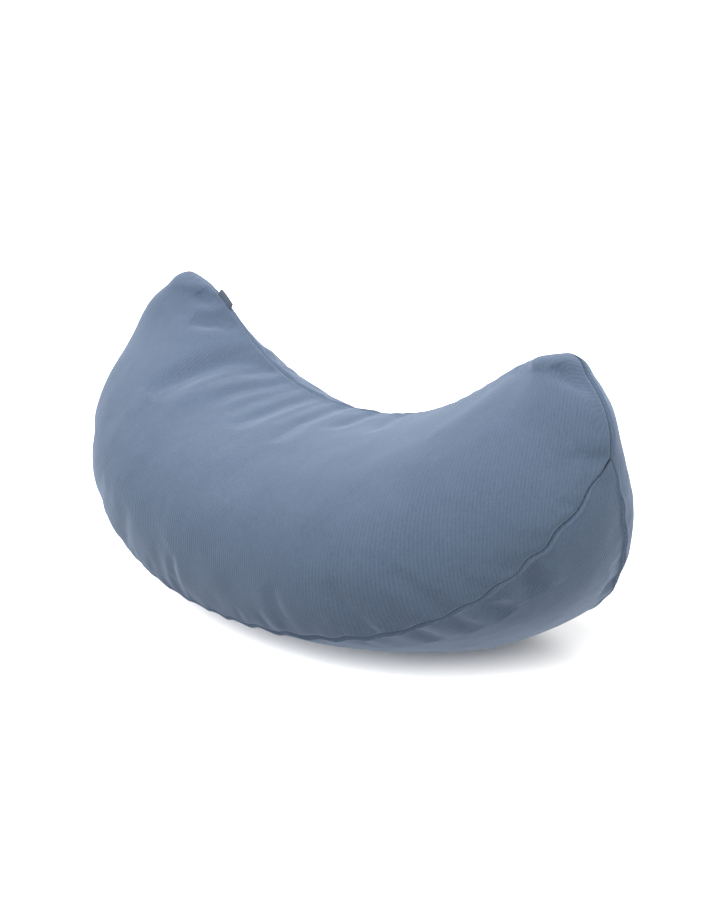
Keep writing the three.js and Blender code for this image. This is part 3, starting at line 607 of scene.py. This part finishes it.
# ---- meshes ----
def ring_faces(rings, sides):
    """Faces of a closed body made of rings of points, each one joined to the next."""
    i, j = np.meshgrid(np.arange(rings - 1), np.arange(sides), indexing="ij")
    k = (j + 1) % sides
    quads = np.stack([i * sides + j, i * sides + k, (i + 1) * sides + k, (i + 1) * sides + j], -1)
    ends = [list(range(sides))[::-1], list(range((rings - 1) * sides, rings * sides))]
    return quads.reshape(-1, 4).tolist() + ends


def signed_volume(mesh):
    mesh.calc_loop_triangles()
    tri = np.zeros(len(mesh.loop_triangles) * 3, int)
    mesh.loop_triangles.foreach_get("vertices", tri)
    co = np.zeros(len(mesh.vertices) * 3)
    mesh.vertices.foreach_get("co", co)
    a, b, c = (co.reshape(-1, 3)[tri.reshape(-1, 3)[:, k]] for k in range(3))
    return (a * np.cross(b, c)).sum() / 6


def new_piece(name, node, bodies, uv=None, seam=None):
    """A piece made of closed bodies, each one a grid of rings, that rides on the cushion."""
    faces, first = [], 0
    for body in bodies:
        faces += [[k + first for k in face] for face in ring_faces(*body.shape[:2])]
        first += body.shape[0] * body.shape[1]
    points = np.concatenate([body.reshape(-1, 3) for body in bodies]) * MM
    mesh = bpy.data.meshes.new(name)
    mesh.from_pydata([tuple(p) for p in points], [], faces)
    mesh.validate()
    if uv is not None:
        layer = mesh.uv_layers.new(name="weave")
        corner = np.zeros(len(mesh.loops), int)
        mesh.loops.foreach_get("vertex_index", corner)
        layer.data.foreach_set("uv", uv.reshape(-1, 2).astype(np.float32)[corner].ravel())
    if seam is not None:
        attribute = mesh.attributes.new("seam", "FLOAT", "POINT")
        attribute.data.foreach_set("value", seam.ravel().astype(np.float32))
    mesh.polygons.foreach_set("use_smooth", [True] * len(mesh.polygons))
    mesh.update()
    if signed_volume(mesh) < 0:
        mesh.flip_normals()
    obj = bpy.data.objects.new(name, mesh)
    bpy.context.scene.collection.objects.link(obj)
    if node:
        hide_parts(node)
    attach(obj, "cushion")
    return obj


def turned_edge(panel, last):
    """Rows that go from the outer face round the turned edge to the inner face."""
    name, cols = seam_of(panel.kind, last)
    edge = panel.point[:, -1 if last else 0]
    inward = panel.point[:, -6 if last else 5] - edge
    out = SEAM_OUT[name][cols]
    k = panel.scale[:, None]
    thick, flap = COVER_THICK * k, FLAP * k
    if name == "back":
        share = near_zip[cols][:, None]
        out = unit(out * (1 - share) + panel.normal[:, -1] * share)
        flap = flap * (1 - share) + thick * 1.001 * share
    own = unit(inward - dot(inward, out) * out)
    gap = label_room[:, None] * k if name == "notch" else 0
    rows = [
        edge - out * flap * depth + own * (thick * back_by + gap)
        for depth, back_by in ((0.12, 0.0), (0.35, 0.0), (0.7, 0.0), (1.0, 0.12), (1.0, 0.88))
    ]
    rows.append(edge - out * np.maximum(flap * 0.8, thick * 0.99) + own * (thick + gap))
    return rows


def cover_piece(panel, name, node):
    """One cover panel as a closed body: outer face, turned edges and inner face."""
    thick = (COVER_THICK * panel.scale)[:, None, None]
    inner = panel.point - panel.normals(panel.point) * thick
    n = panel.point.shape[1]
    returning = list(range(n - 1 - FLAP_SKIP, FLAP_SKIP - 1, -1))
    far, near = turned_edge(panel, True), turned_edge(panel, False)[::-1]
    rows = [panel.point[:, j] for j in range(n)] + far + [inner[:, j] for j in returning] + near
    which = list(range(n)) + [n - 1] * len(far) + returning + [0] * len(near)
    seam = np.exp(-np.minimum(panel.down, panel.up) / SEAM_TINT)[:, which]
    return new_piece(name, node, [np.stack(rows, 1)], panel.weave[:, which], seam)


def laid_flat(panel, rounds=1400):
    """The panel's cut shape: a coarse grid relaxed into a plane until its lengths fit."""
    n, m = panel.base.shape[:2]
    i = np.unique(np.linspace(0, n - 1, 61).round().astype(int))
    j = np.unique(np.linspace(0, m - 1, 17).round().astype(int))
    p = panel.base[np.ix_(i, j)]
    index = np.arange(len(i) * len(j)).reshape(len(i), len(j))
    links = np.concatenate([
        np.stack([a.ravel(), b.ravel()], 1)
        for a, b in (
            (index[:-1], index[1:]), (index[:, :-1], index[:, 1:]),
            (index[:-1, :-1], index[1:, 1:]), (index[:-1, 1:], index[1:, :-1]),
            (index[:-2], index[2:]), (index[:, :-2], index[:, 2:]),
        )
    ])
    flat = p.reshape(-1, 3)
    first, second = links.T
    rest = np.linalg.norm(flat[first] - flat[second], axis=1)
    weight = 1 / np.maximum(rest, 2)
    shared = np.bincount(links.ravel(), np.repeat(weight, 2), len(flat))
    q = np.stack([flat[:, 0], flat[:, 2] - 0.6 * np.abs(flat[:, 1])], 1)
    for _ in range(rounds):
        d = q[second] - q[first]
        size = np.maximum(np.linalg.norm(d, axis=1), 1e-6)
        pull = (0.8 * weight * (size - rest) / size)[:, None] * d
        for k in (0, 1):
            q[:, k] += (
                np.bincount(first, pull[:, k], len(q)) - np.bincount(second, pull[:, k], len(q))
            ) / shared
    q = q.reshape(len(i), len(j), 2)
    wide = np.stack([
        [np.interp(panel.down[a], panel.down[a, j], q[row, :, k]) for k in (0, 1)]
        for row, a in enumerate(i)
    ])
    full = np.stack([
        [np.interp(np.arange(n), i, wide[:, k, column]) for column in range(m)] for k in (0, 1)
    ]).transpose(2, 1, 0)
    for _ in range(40):
        full = relaxed(relaxed(full, 1).swapaxes(0, 1), 1).swapaxes(0, 1)
    return full


def weave_of(panel):
    """Cloth coordinates in metres: across the ribs and along them."""
    if panel.kind == "base":
        along = Line(panel.base[:, panel.base.shape[1] // 2]).marks
        across = panel.down - panel.width[:, None] / 2
        return np.stack([across, np.broadcast_to(along[:, None], across.shape)], -1) * MM
    flat = laid_flat(panel)
    x, y = flat[..., 0], flat[..., 1] - RIB_PIVOT
    turned = RIB_TURN * smooth_step((np.abs(x) - RIB_TURN_FROM) / RIB_TURN_OVER)
    turned = turned * np.where(x > 0, 1, RIB_LEFT)
    across = x * np.cos(turned) + y * np.sin(turned)
    return np.stack([across, y * np.cos(turned) - x * np.sin(turned)], -1) * MM


covers = []
for kind, name, node in (
    ("front", "cover_front", "cover_front_panel"),
    ("back", "cover_back", "cover_back_panel"),
    ("base", "cover_gusset", "cover_base_gusset"),
):
    PANELS[kind].weave = weave_of(PANELS[kind])
    covers.append(cover_piece(PANELS[kind], name, node))


# ---- liner and filling ----
cover_spots = np.concatenate([p.point[::2, ::2].reshape(-1, 3) for p in PANELS.values()])
cover_out = [p.normals(p.point)[::2, ::2].reshape(-1, 3) for p in PANELS.values()]
cover_out = np.concatenate(cover_out)
cover_tree = KDTree(len(cover_spots))
for k, spot in enumerate(cover_spots):
    cover_tree.insert(spot, k)
cover_tree.balance()


def under_cover(points, depth):
    """Moves points in until they lie at least depth mm under the creased cover."""
    moved = points.reshape(-1, 3).copy()
    for _ in range(3):
        for p in moved:
            k = cover_tree.find(p)[1]
            short = depth - (cover_spots[k] - p) @ cover_out[k]
            if short > 0:
                p -= cover_out[k] * short
    return moved.reshape(points.shape)


def nested(kind, u, t, depth):
    """A point that lies depth mm inside the outer face, stepping in from the seams too."""
    u, t = np.broadcast_arrays(u, t)
    p = surface(kind, u, t)
    if kind == "base":
        return p - face_normal(kind, u, t, 0.003, 0.02) * depth
    a = np.abs(u)
    chord = unit(OUTER.at(a) - INNER.at(a))
    sign = np.where(u < 0, -1, 1)
    flat = leaned(np.stack([chord[..., 0] * sign, 0 * a, chord[..., 1]], -1)) * EDGE_STRETCH
    facing = -1 if kind == "front" else 1
    out = leaned(np.broadcast_to(np.array([0.0, facing, 0.0]), p.shape))
    t = t[..., None]
    ray = out * swell(t) - flat * (1 - t) + flat * t
    return p - ray * depth


def chord_column(size):
    """The u, over a horn, where the panels are size mm wide."""
    a = np.linspace(U_SIDE, 1, 400)
    chords = np.linalg.norm(OUTER.at(a) - INNER.at(a), axis=1)
    return float(np.interp(-size, -chords, a))


U_LINER = chord_column(44)
liner_us = columns(60, 10, U_LINER)
liner_t = rounded_steps(41)


def liner_piece(kind, node):
    us = liner_us
    if kind == "base":
        us = np.clip(us[np.abs(us) <= U_SIDE], -U_SIDE + 0.02, U_SIDE - 0.02)
    outer = nested(kind, us[:, None], liner_t, LINER_DEPTH)
    inner = nested(kind, us[:, None], liner_t, LINER_DEPTH + LINER_THICK)
    outer = outer + 0.3 * soft_noise(outer, 9, 31)[..., None] * np.array([0.3, 1, 0.3])
    outer = under_cover(outer, COVER_THICK + COVER_CLEAR)
    inner = under_cover(inner, COVER_THICK + COVER_CLEAR + LINER_THICK)
    for grid in (outer, inner):
        for edge, next_to in ((0, 1), (-1, -2)):
            grid[:, edge] += unit(grid[:, next_to] - grid[:, edge]) * 0.15
    loop = np.concatenate([outer, inner[:, ::-1]], 1)
    weave = np.stack([loop[..., 0], loop[..., 2] + loop[..., 1]], -1) * MM
    return new_piece("liner_" + kind, node, [loop], weave)


liners = [
    liner_piece("front", "liner_front_panel"),
    liner_piece("back", "liner_back_panel"),
    liner_piece("base", "liner_base_gusset"),
]


def bead_piece():
    """The loose beads as one bumpy body inside the liner."""
    u, t = liner_us[:, None], liner_t[:-1]
    start, end = (nested(kind, u, np.ones((1, 1)), FILL_DEPTH) for kind in ("front", "back"))
    flat = start + (end - start) * t[None, :, None]
    last = U_SIDE - 0.03
    bulge = nested("base", np.clip(u, -last, last), t, FILL_DEPTH)
    share = smooth_step((last - np.abs(u)) / 0.15) * np.sin(math.pi * t) ** 0.5
    under = flat + (bulge - flat) * share[..., None]
    sides = nested("front", u, t, FILL_DEPTH), nested("back", u, liner_t[:0:-1], FILL_DEPTH)
    loop = np.concatenate([sides[0], under, sides[1]], 1)
    bumps = soft_noise(loop, 5, 41) * 0.35
    middle = loop.mean(1, keepdims=True)
    loop = loop + unit(loop - middle) * bumps[..., None]
    loop = under_cover(loop, COVER_THICK + 2 * COVER_CLEAR + LINER_THICK)
    return new_piece("beads", "bead_fill", [loop])


beads = bead_piece()


# ---- tubes: zip coils and stitches ----
def tube(points, radius):
    points = np.asarray(points, float)
    along = unit(np.gradient(points, axis=0))
    guide = np.array([0.0, 0.0, 1.0]) if abs(along[0][2]) < 0.9 else np.array([0.0, 1.0, 0.0])
    rings = []
    for p, d in zip(points, along):
        a = unit(np.cross(d, guide))
        b = np.cross(a, d)
        guide = b
        angle = np.arange(TUBE_SIDES)[:, None] / TUBE_SIDES * 2 * math.pi
        rings.append(p + radius * (np.cos(angle) * a + np.sin(angle) * b))
    return np.stack(rings)


ridge = surface("back", 0.0, 1.0)
seam_top = leaned(np.array([0, 0, SIDE_HEIGHT], float))
seam_top[1] -= BOX_CENTRE_Y
seam_top[2] -= FLOOR_LEVEL
zip_down = unit(ridge - seam_top)
zip_centre = ridge - zip_down * ZIP_RADIUS
zip_axis = unit(np.cross([1, 0, 0], zip_down))
zip_out = unit(SEAM_OUT["back"][len(US) // 2] * np.array([0, 1, 1]))
zip_side = unit(np.cross([1, 0, 0], zip_out))


def zip_point(s, q, h):
    """s along the zip, q towards the back panel, h out of the seam."""
    p = ridge + zip_side * q + zip_out * h - zip_centre
    angle = -s / ZIP_RADIUS
    k = zip_axis
    return (
        p * math.cos(angle)
        + np.cross(k, p) * math.sin(angle)
        + k * np.dot(k, p) * (1 - math.cos(angle))
        + zip_centre
    )


def coil_piece(name, node, sign, phase):
    """A coil of nylon wire, its turns flattened against the tape."""
    half_q, half_h = COIL_Q - COIL_EDGE - COIL_WIRE, COIL_HEIGHT / 2 - COIL_WIRE - 0.02
    points = []
    for k in range((int(2 * COIL_HALF / COIL_PITCH) - 1) * COIL_STEPS + 1):
        a = k / COIL_STEPS * 2 * math.pi
        s = -COIL_HALF + 0.8 + phase + k / COIL_STEPS * COIL_PITCH
        q = COIL_Q - half_q * math.cos(a)
        h = half_h * math.copysign(abs(math.sin(a)) ** 0.6, math.sin(a))
        points.append(zip_point(s, sign * q, COIL_TOP - COIL_HEIGHT / 2 + h))
    return new_piece(name, node, [tube(points, COIL_WIRE)])


teeth = [
    coil_piece("zip_teeth_upper", "zip_coil_upper", 1, 0.0),
    coil_piece("zip_teeth_lower", "zip_coil_lower", -1, COIL_PITCH / 2),
]


def hem_stitches(name, panel):
    """A row of stitches beside the zip, each one sunk at its ends."""
    parts = []
    s = -ZIP_HALF - 2
    while s < ZIP_HALF + 2 - STITCH:
        spots = []
        for k in range(7):
            share = k / 6
            u = (s + STITCH * share) / OUTER.length
            i = np.interp(u, panel.u, np.arange(len(panel.u)))
            rise = 0.13 * math.sin(math.pi * share) ** 0.5 - 0.08
            spot = 0
            for column, part in ((int(i), 1 - i % 1), (int(i) + 1, i % 1)):
                d = panel.down[column, -1] - STITCH_FROM_EDGE
                raised = panel.point[column] + panel.normal[column] * rise
                at_d = [np.interp(d, panel.down[column], raised[:, x]) for x in range(3)]
                spot = spot + part * np.array(at_d)
            spots.append(spot)
        parts.append(tube(spots, THREAD))
        s += STITCH_STEP
    return new_piece(name, None, parts)


hems = [hem_stitches("hem_stitches_upper", back), hem_stitches("hem_stitches_lower", base)]


# ---- label ----
def label_piece():
    """A folded ribbon held in the seam: its section is swept along the seam with a slight bend."""
    n = 37
    us = LABEL_U + np.linspace(-0.5, 0.5, n) * LABEL_LENGTH / INNER.length

    def along_label(table):
        return np.stack([np.interp(us, US, table[:, k]) for k in range(3)], -1)

    seam = surface("front", us, np.zeros(n)) + along_label(SEAM_SHIFT["notch"])
    out = unit(along_label(SEAM_OUT["notch"]))
    across = unit(np.cross(unit(np.gradient(seam, axis=0)), out))
    half = LABEL_THICK / 2
    fold = LABEL_REACH - LABEL_FOLD
    heights = np.array([-1.6, -0.6, 0.4, 1.4, 2.4, 3.2, fold])
    spread = np.array([0.24, 0.24, 0.3, 0.42, 0.46, 0.4, 0.3]) + half * 0.2
    sides = [
        np.stack([x, heights], 1)
        for x in (spread + half, -spread - half, -spread + half, spread - half)
    ]
    a = np.linspace(0, math.pi, 9)[1:-1]
    crown = np.stack([(0.3 + half) * np.cos(a), fold + LABEL_FOLD * np.sin(a)], 1)
    inside = [[0.0, LABEL_REACH - 0.42 - LABEL_THICK * 0.4]]
    loop = np.concatenate([sides[0], crown, sides[1][::-1], sides[2], inside, sides[3][::-1]])
    s = np.linspace(-1, 1, n)[:, None]
    bend = 0.35 * np.sin(2.2 * s) + 0.15 * np.sin(5 * s + 1)
    droop = 1 - 0.05 * s**2 + 0.03 * np.sin(4 * s)
    sideways = loop[:, 0] + bend * (loop[:, 1] / 4) ** 2
    grid = seam[:, None] + across[:, None] * sideways[..., None]
    grid = grid + out[:, None] * (loop[:, 1] * droop)[..., None]
    weave = np.stack(np.broadcast_arrays(s * LABEL_LENGTH / 2, loop[:, 1]), -1) * MM
    return new_piece("woven_label", "side_label", [grid], weave)


label = label_piece()


# ---- materials ----
class Nodes:
    """A short way to write a material's node tree."""

    def __init__(self, name):
        self.material = bpy.data.materials.new(name)
        self.material.use_nodes = True
        self.tree = self.material.node_tree
        self.shader = self.tree.nodes["Principled BSDF"]

    def add(self, kind, inputs=None, **settings):
        node = self.tree.nodes.new("ShaderNode" + kind)
        for key, value in settings.items():
            setattr(node, key, value)
        for key, value in (inputs or {}).items():
            self.put(node.inputs[key], value)
        return node

    def put(self, socket, value):
        if isinstance(value, bpy.types.NodeSocket):
            self.tree.links.new(value, socket)
        elif isinstance(value, bpy.types.Node):
            self.tree.links.new(value.outputs[0], socket)
        else:
            socket.default_value = value

    def math(self, operation, a, b=0.0, c=0.0):
        return self.add("Math", {0: a, 1: b, 2: c}, operation=operation)

    def mix(self, share, a, b):
        node = self.add("Mix", data_type="RGBA")
        self.put(node.inputs[0], share)
        self.put(node.inputs[6], a)
        self.put(node.inputs[7], b)
        return node.outputs[2]

    def ramp(self, value, low, high, to_low=0.0, to_high=1.0):
        return self.add("MapRange", {0: value, 1: low, 2: high, 3: to_low, 4: to_high})

    def wave(self, value, period):
        return self.math("SINE", self.math("MULTIPLY", value, 2 * math.pi / period))

    def noise(self, size, detail, roughness=0.5):
        spot = self.add("TexCoord").outputs["Object"]
        inputs = {"Vector": spot, "Scale": 1 / size, "Detail": detail, "Roughness": roughness}
        return self.add("TexNoise", inputs).outputs["Fac"]

    def set(self, **values):
        for key, value in values.items():
            self.put(self.shader.inputs[key.replace("_", " ")], value)

    def bump(self, height, distance, strength=0.5):
        inputs = {"Strength": strength, "Distance": distance, "Height": height}
        self.set(Normal=self.add("Bump", inputs))


def colour(r, g, b):
    return (r, g, b, 1.0)


COVER_LIGHT = colour(0.140, 0.194, 0.284)
COVER_DARK = colour(0.096, 0.138, 0.212)
# the dark colour used for painted shade in the seams and rib grooves, and for random darker flecks
# of pile
COVER_PAINTED_SHADE_AND_PILE = colour(0.050, 0.070, 0.104)


def ribbed_knit():
    """The cover: a fine ribbed knit with pile, paler where it rubs, with painted shade in its seams
    and its rib grooves.
    """
    n = Nodes("ribbed_knit")
    uv = n.add("UVMap", uv_map="weave")
    parts = n.add("SeparateXYZ", {0: uv.outputs[0]})
    across, along = parts.outputs[0], parts.outputs[1]
    sway = n.ramp(n.noise(0.03, 1), 0.0, 1.0, -0.0005, 0.0005)
    turns = n.math("MULTIPLY", n.math("ADD", across, sway), 2 * math.pi / RIB_PITCH)
    rib = n.math("POWER", n.ramp(n.math("SINE", turns), -1.0, 1.0), 0.7)
    half_turns = n.math("MULTIPLY", turns, 0.5)
    slant = n.math("MULTIPLY", n.math("ABSOLUTE", n.math("SINE", half_turns)), 0.5)
    loops = n.math("ADD", n.math("MULTIPLY", along, 1 / LOOP_PITCH), slant)
    loop = n.ramp(n.wave(loops, 1), -1.0, 1.0)
    fuzz = n.noise(0.0006, 3)
    lift = n.math("MULTIPLY_ADD", loop, 0.16, n.math("MULTIPLY", rib, 0.62))
    n.bump(n.math("MULTIPLY_ADD", fuzz, 0.3, lift), 0.00035)
    broad = n.ramp(n.noise(0.012, 4), 0.3, 0.7)
    large = n.ramp(n.noise(0.07, 3), 0.3, 0.7)
    cloud = n.math("MULTIPLY_ADD", broad, 0.28, n.math("MULTIPLY", large, 0.3))
    # painted shade: the grooves between the ribs are darkened, by an amount that varies at random
    uneven = n.ramp(n.noise(0.004, 3), 0.3, 0.7, 0.14, 0.34)
    rib_groove_shade = n.math("MULTIPLY", n.math("SUBTRACT", 1.0, rib), uneven)
    pile = n.ramp(n.noise(0.0016, 4, 0.7), 0.3, 0.7, 0.0, 0.34)
    seam = n.add("Attribute", attribute_name="seam").outputs["Fac"]
    tone = n.mix(cloud, COVER_DARK, COVER_LIGHT)
    for share, target in (
        (rib_groove_shade, COVER_PAINTED_SHADE_AND_PILE),
        (pile, COVER_PAINTED_SHADE_AND_PILE),
        (n.ramp(fuzz, 0.42, 0.75, 0.0, 0.2), COVER_LIGHT),
        (n.ramp(seam, 0.25, 0.6, 0.0, 0.1), COVER_LIGHT),
        # painted shade: the cover is darkened in the seam grooves; the line above is a slight paler
        # wear along them
        (n.ramp(seam, 0.66, 0.95, 0.0, 0.85), COVER_PAINTED_SHADE_AND_PILE),
    ):
        tone = n.mix(share, tone, target)
    n.set(Base_Color=tone, Roughness=n.ramp(broad, 0.0, 1.0, 0.78, 0.92))
    n.set(Sheen_Weight=0.6, Sheen_Roughness=0.42, Sheen_Tint=colour(0.62, 0.74, 0.95))
    n.set(Specular_IOR_Level=0.22)
    return n.material


def woven(name, dark, light, pitch, roughness, twill=0.0):
    """A plain or twill weave with threads pitch metres apart."""
    n = Nodes(name)
    spot = n.add("TexCoord").outputs["Object"]
    parts = n.add("SeparateXYZ", {0: spot})
    x = n.math("MULTIPLY_ADD", parts.outputs[1], twill, parts.outputs[0])
    z = n.math("ADD", parts.outputs[2], parts.outputs[1])
    both = n.ramp(n.math("MULTIPLY", n.wave(x, pitch), n.wave(z, pitch)), -1.0, 1.0)
    fuzz = n.noise(pitch * 1.3, 3)
    # half painted shade, darker where the threads dip between crossings and paler on them, half
    # random tone
    tone = n.mix(n.math("MULTIPLY_ADD", both, 0.5, n.math("MULTIPLY", fuzz, 0.5)), dark, light)
    n.set(Base_Color=tone, Roughness=n.ramp(fuzz, 0.2, 0.8, roughness - 0.08, roughness + 0.06))
    n.set(Sheen_Weight=0.15, Sheen_Roughness=0.5)
    n.bump(n.math("MULTIPLY_ADD", fuzz, 0.4, both), pitch * 0.2)
    return n.material


def ribbon():
    """The label: a grosgrain ribbon with fine ribs."""
    n = Nodes("label_ribbon")
    uv = n.add("UVMap", uv_map="weave")
    parts = n.add("SeparateXYZ", {0: uv.outputs[0]})
    rib = n.ramp(n.wave(parts.outputs[0], 0.0007), -1.0, 1.0)
    fuzz = n.noise(0.0005, 3)
    dark, light = colour(0.060, 0.080, 0.115), colour(0.115, 0.150, 0.205)
    # painted shade: the ribbon is darker in the valleys between its ribs and paler on their crests
    tone = n.mix(n.math("MULTIPLY", rib, 0.6), dark, light)
    tone = n.mix(n.ramp(fuzz, 0.5, 0.8, 0.0, 0.25), tone, colour(0.16, 0.2, 0.26))
    n.set(Base_Color=tone, Roughness=n.ramp(fuzz, 0.2, 0.8, 0.6, 0.8))
    n.set(Sheen_Weight=0.25, Sheen_Roughness=0.4)
    n.bump(rib, 0.00012)
    return n.material


def painted_metal():
    n = Nodes("painted_zip_metal")
    grain = n.noise(0.0004, 4)
    cloud = n.noise(0.004, 3)
    worn = n.ramp(cloud, 0.55, 0.75, 0.0, 0.35)
    tone = n.mix(worn, colour(0.055, 0.062, 0.073), colour(0.2, 0.21, 0.225))
    tone = n.mix(n.math("MULTIPLY", grain, 0.25), tone, colour(0.1, 0.11, 0.125))
    n.set(Base_Color=tone, Metallic=0.75, Roughness=n.ramp(grain, 0.2, 0.8, 0.3, 0.5))
    n.bump(grain, 0.00005, 0.25)
    return n.material


def nylon():
    n = Nodes("zip_nylon")
    cloud = n.noise(0.002, 3)
    tone = n.mix(cloud, colour(0.085, 0.115, 0.17), colour(0.125, 0.165, 0.235))
    n.set(Base_Color=tone, Roughness=n.ramp(cloud, 0.2, 0.8, 0.32, 0.48))
    n.set(Subsurface_Weight=0.05)
    n.bump(n.noise(0.0002, 2), 0.00004, 0.2)
    return n.material


def expanded_beads():
    n = Nodes("expanded_beads")
    spot = n.add("TexCoord").outputs["Object"]
    cells = n.add("TexVoronoi", {"Vector": spot, "Scale": 1 / 0.003})
    dome = n.ramp(cells.outputs["Distance"], 0.0, 0.7, 1.0, 0.0)
    # painted shade: each bead is paler at its middle and darker towards its edge, where it meets
    # the next
    tone = n.mix(dome, colour(0.66, 0.66, 0.64), colour(0.88, 0.88, 0.86))
    n.set(Base_Color=tone, Roughness=n.ramp(dome, 0.0, 1.0, 0.7, 0.5))
    n.bump(dome, 0.001, 0.8)
    return n.material


TAPE = woven(
    "zip_tape_weave", colour(0.055, 0.075, 0.115), colour(0.1, 0.13, 0.19), 0.0007, 0.8, 0.5
)
THREAD_LOOK = woven(
    "hem_thread", colour(0.1, 0.135, 0.2), colour(0.2, 0.26, 0.36), 0.0004, 0.7, 1.0
)
LINER_LOOK = woven("liner_weave", colour(0.62, 0.62, 0.6), colour(0.82, 0.82, 0.8), 0.0008, 0.85)

for look, objects in (
    (ribbed_knit(), covers), (LINER_LOOK, liners), (expanded_beads(), [beads]),
    (nylon(), teeth), (THREAD_LOOK, hems), (ribbon(), [label]),
):
    for obj in objects:
        obj.data.materials.append(look)

METAL_NODES = (
    "zip_top_stop_upper", "zip_top_stop_lower", "zip_bottom_stop", "zip_slider", "zip_pull_tab"
)
for look, names in (
    (TAPE, ("zip_tape_upper", "zip_tape_lower")), (painted_metal(), METAL_NODES)
):
    for name in names:
        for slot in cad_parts[name].material_slots:
            slot.material = look

# ---- floor, light and camera ----
FLOOR_SIZE = 30.0
floor_mesh = bpy.data.meshes.new("floor")
r = FLOOR_SIZE / 2
corners = [(-r, -r, 0), (r, -r, 0), (r, r, 0), (-r, r, 0)]
floor_mesh.from_pydata(corners, [], [(0, 1, 2, 3)])
floor = bpy.data.objects.new("floor", floor_mesh)
bpy.context.scene.collection.objects.link(floor)
paper = Nodes("floor_paper")
paper.set(Base_Color=colour(0.93, 0.93, 0.935), Roughness=0.9, Specular_IOR_Level=0.1)
floor_mesh.materials.append(paper.material)

TARGET = Vector((0.01059, 0.01065, 0.11203))
AZIMUTH, ELEVATION, DISTANCE = 50.56, 13.88, 1.35
FOCAL_PIXELS, LONG_SIDE = 2218, 900  # the image is 720 by 900, its long side the sensor's
SENSOR = 36
LIT_SPOT = Vector((0, 0, 0.1))


def placed(name, data, spot, azimuth, elevation, distance):
    """A lamp or camera that looks at a spot from a direction in degrees."""
    obj = bpy.data.objects.new(name, data)
    a, e = math.radians(azimuth), math.radians(elevation)
    back = Vector((math.sin(a) * math.cos(e), -math.cos(a) * math.cos(e), math.sin(e)))
    obj.location = spot + back * distance
    obj.rotation_mode = "QUATERNION"
    obj.rotation_quaternion = back.to_track_quat("Z", "Y")
    bpy.context.scene.collection.objects.link(obj)
    return obj


def soft_box(name, azimuth, elevation, distance, size, power, tint=(1, 1, 1)):
    data = bpy.data.lights.new(name, "AREA")
    data.shape = "DISK"
    data.size = size
    data.energy = power
    data.color = tint
    placed(name, data, LIT_SPOT, azimuth, elevation, distance)


soft_box("key", 14, 62, 2.6, 1.6, 40)
soft_box("back", 230, 55, 3.0, 2.0, 30)
soft_box("fill", 84, 30, 3.0, 2.0, 22, (1.0, 0.95, 0.86))

# This soft light reaches only the floor, so the paper stays white up to the cushion.
paper_data = bpy.data.lights.new("paper_light", "SUN")
paper_data.energy = 9
paper_data.angle = math.radians(40)
paper_light = placed("paper_light", paper_data, LIT_SPOT, 22, 30, 2.0)
only_floor = bpy.data.collections.new("only_floor")
only_floor.objects.link(floor)
paper_light.light_linking.receiver_collection = only_floor
floor.visible_diffuse = False  # the world's lower half stands for the floor's own glow

world = bpy.data.worlds.new("studio")
world.use_nodes = True
nodes, links = world.node_tree.nodes, world.node_tree.links
direction = nodes.new("ShaderNodeTexCoord").outputs["Generated"]
height = nodes.new("ShaderNodeSeparateXYZ")
level = nodes.new("ShaderNodeMapRange")
for socket, value in zip((1, 2, 3, 4), (-0.5, 0.05, 0.40, 0.85)):
    level.inputs[socket].default_value = value
links.new(direction, height.inputs[0])
links.new(height.outputs[2], level.inputs[0])
links.new(level.outputs[0], nodes["Background"].inputs[1])
nodes["Background"].inputs[0].default_value = (1.0, 1.0, 1.0, 1.0)
bpy.context.scene.world = world
bpy.context.scene.view_settings.view_transform = "Standard"

camera_data = bpy.data.cameras.new("camera")
camera_data.sensor_width = SENSOR
camera_data.lens = FOCAL_PIXELS / LONG_SIDE * SENSOR
camera_data.clip_start, camera_data.clip_end = 0.05, 100
camera = placed("camera", camera_data, TARGET, AZIMUTH, ELEVATION, DISTANCE)
bpy.context.scene.camera = camera
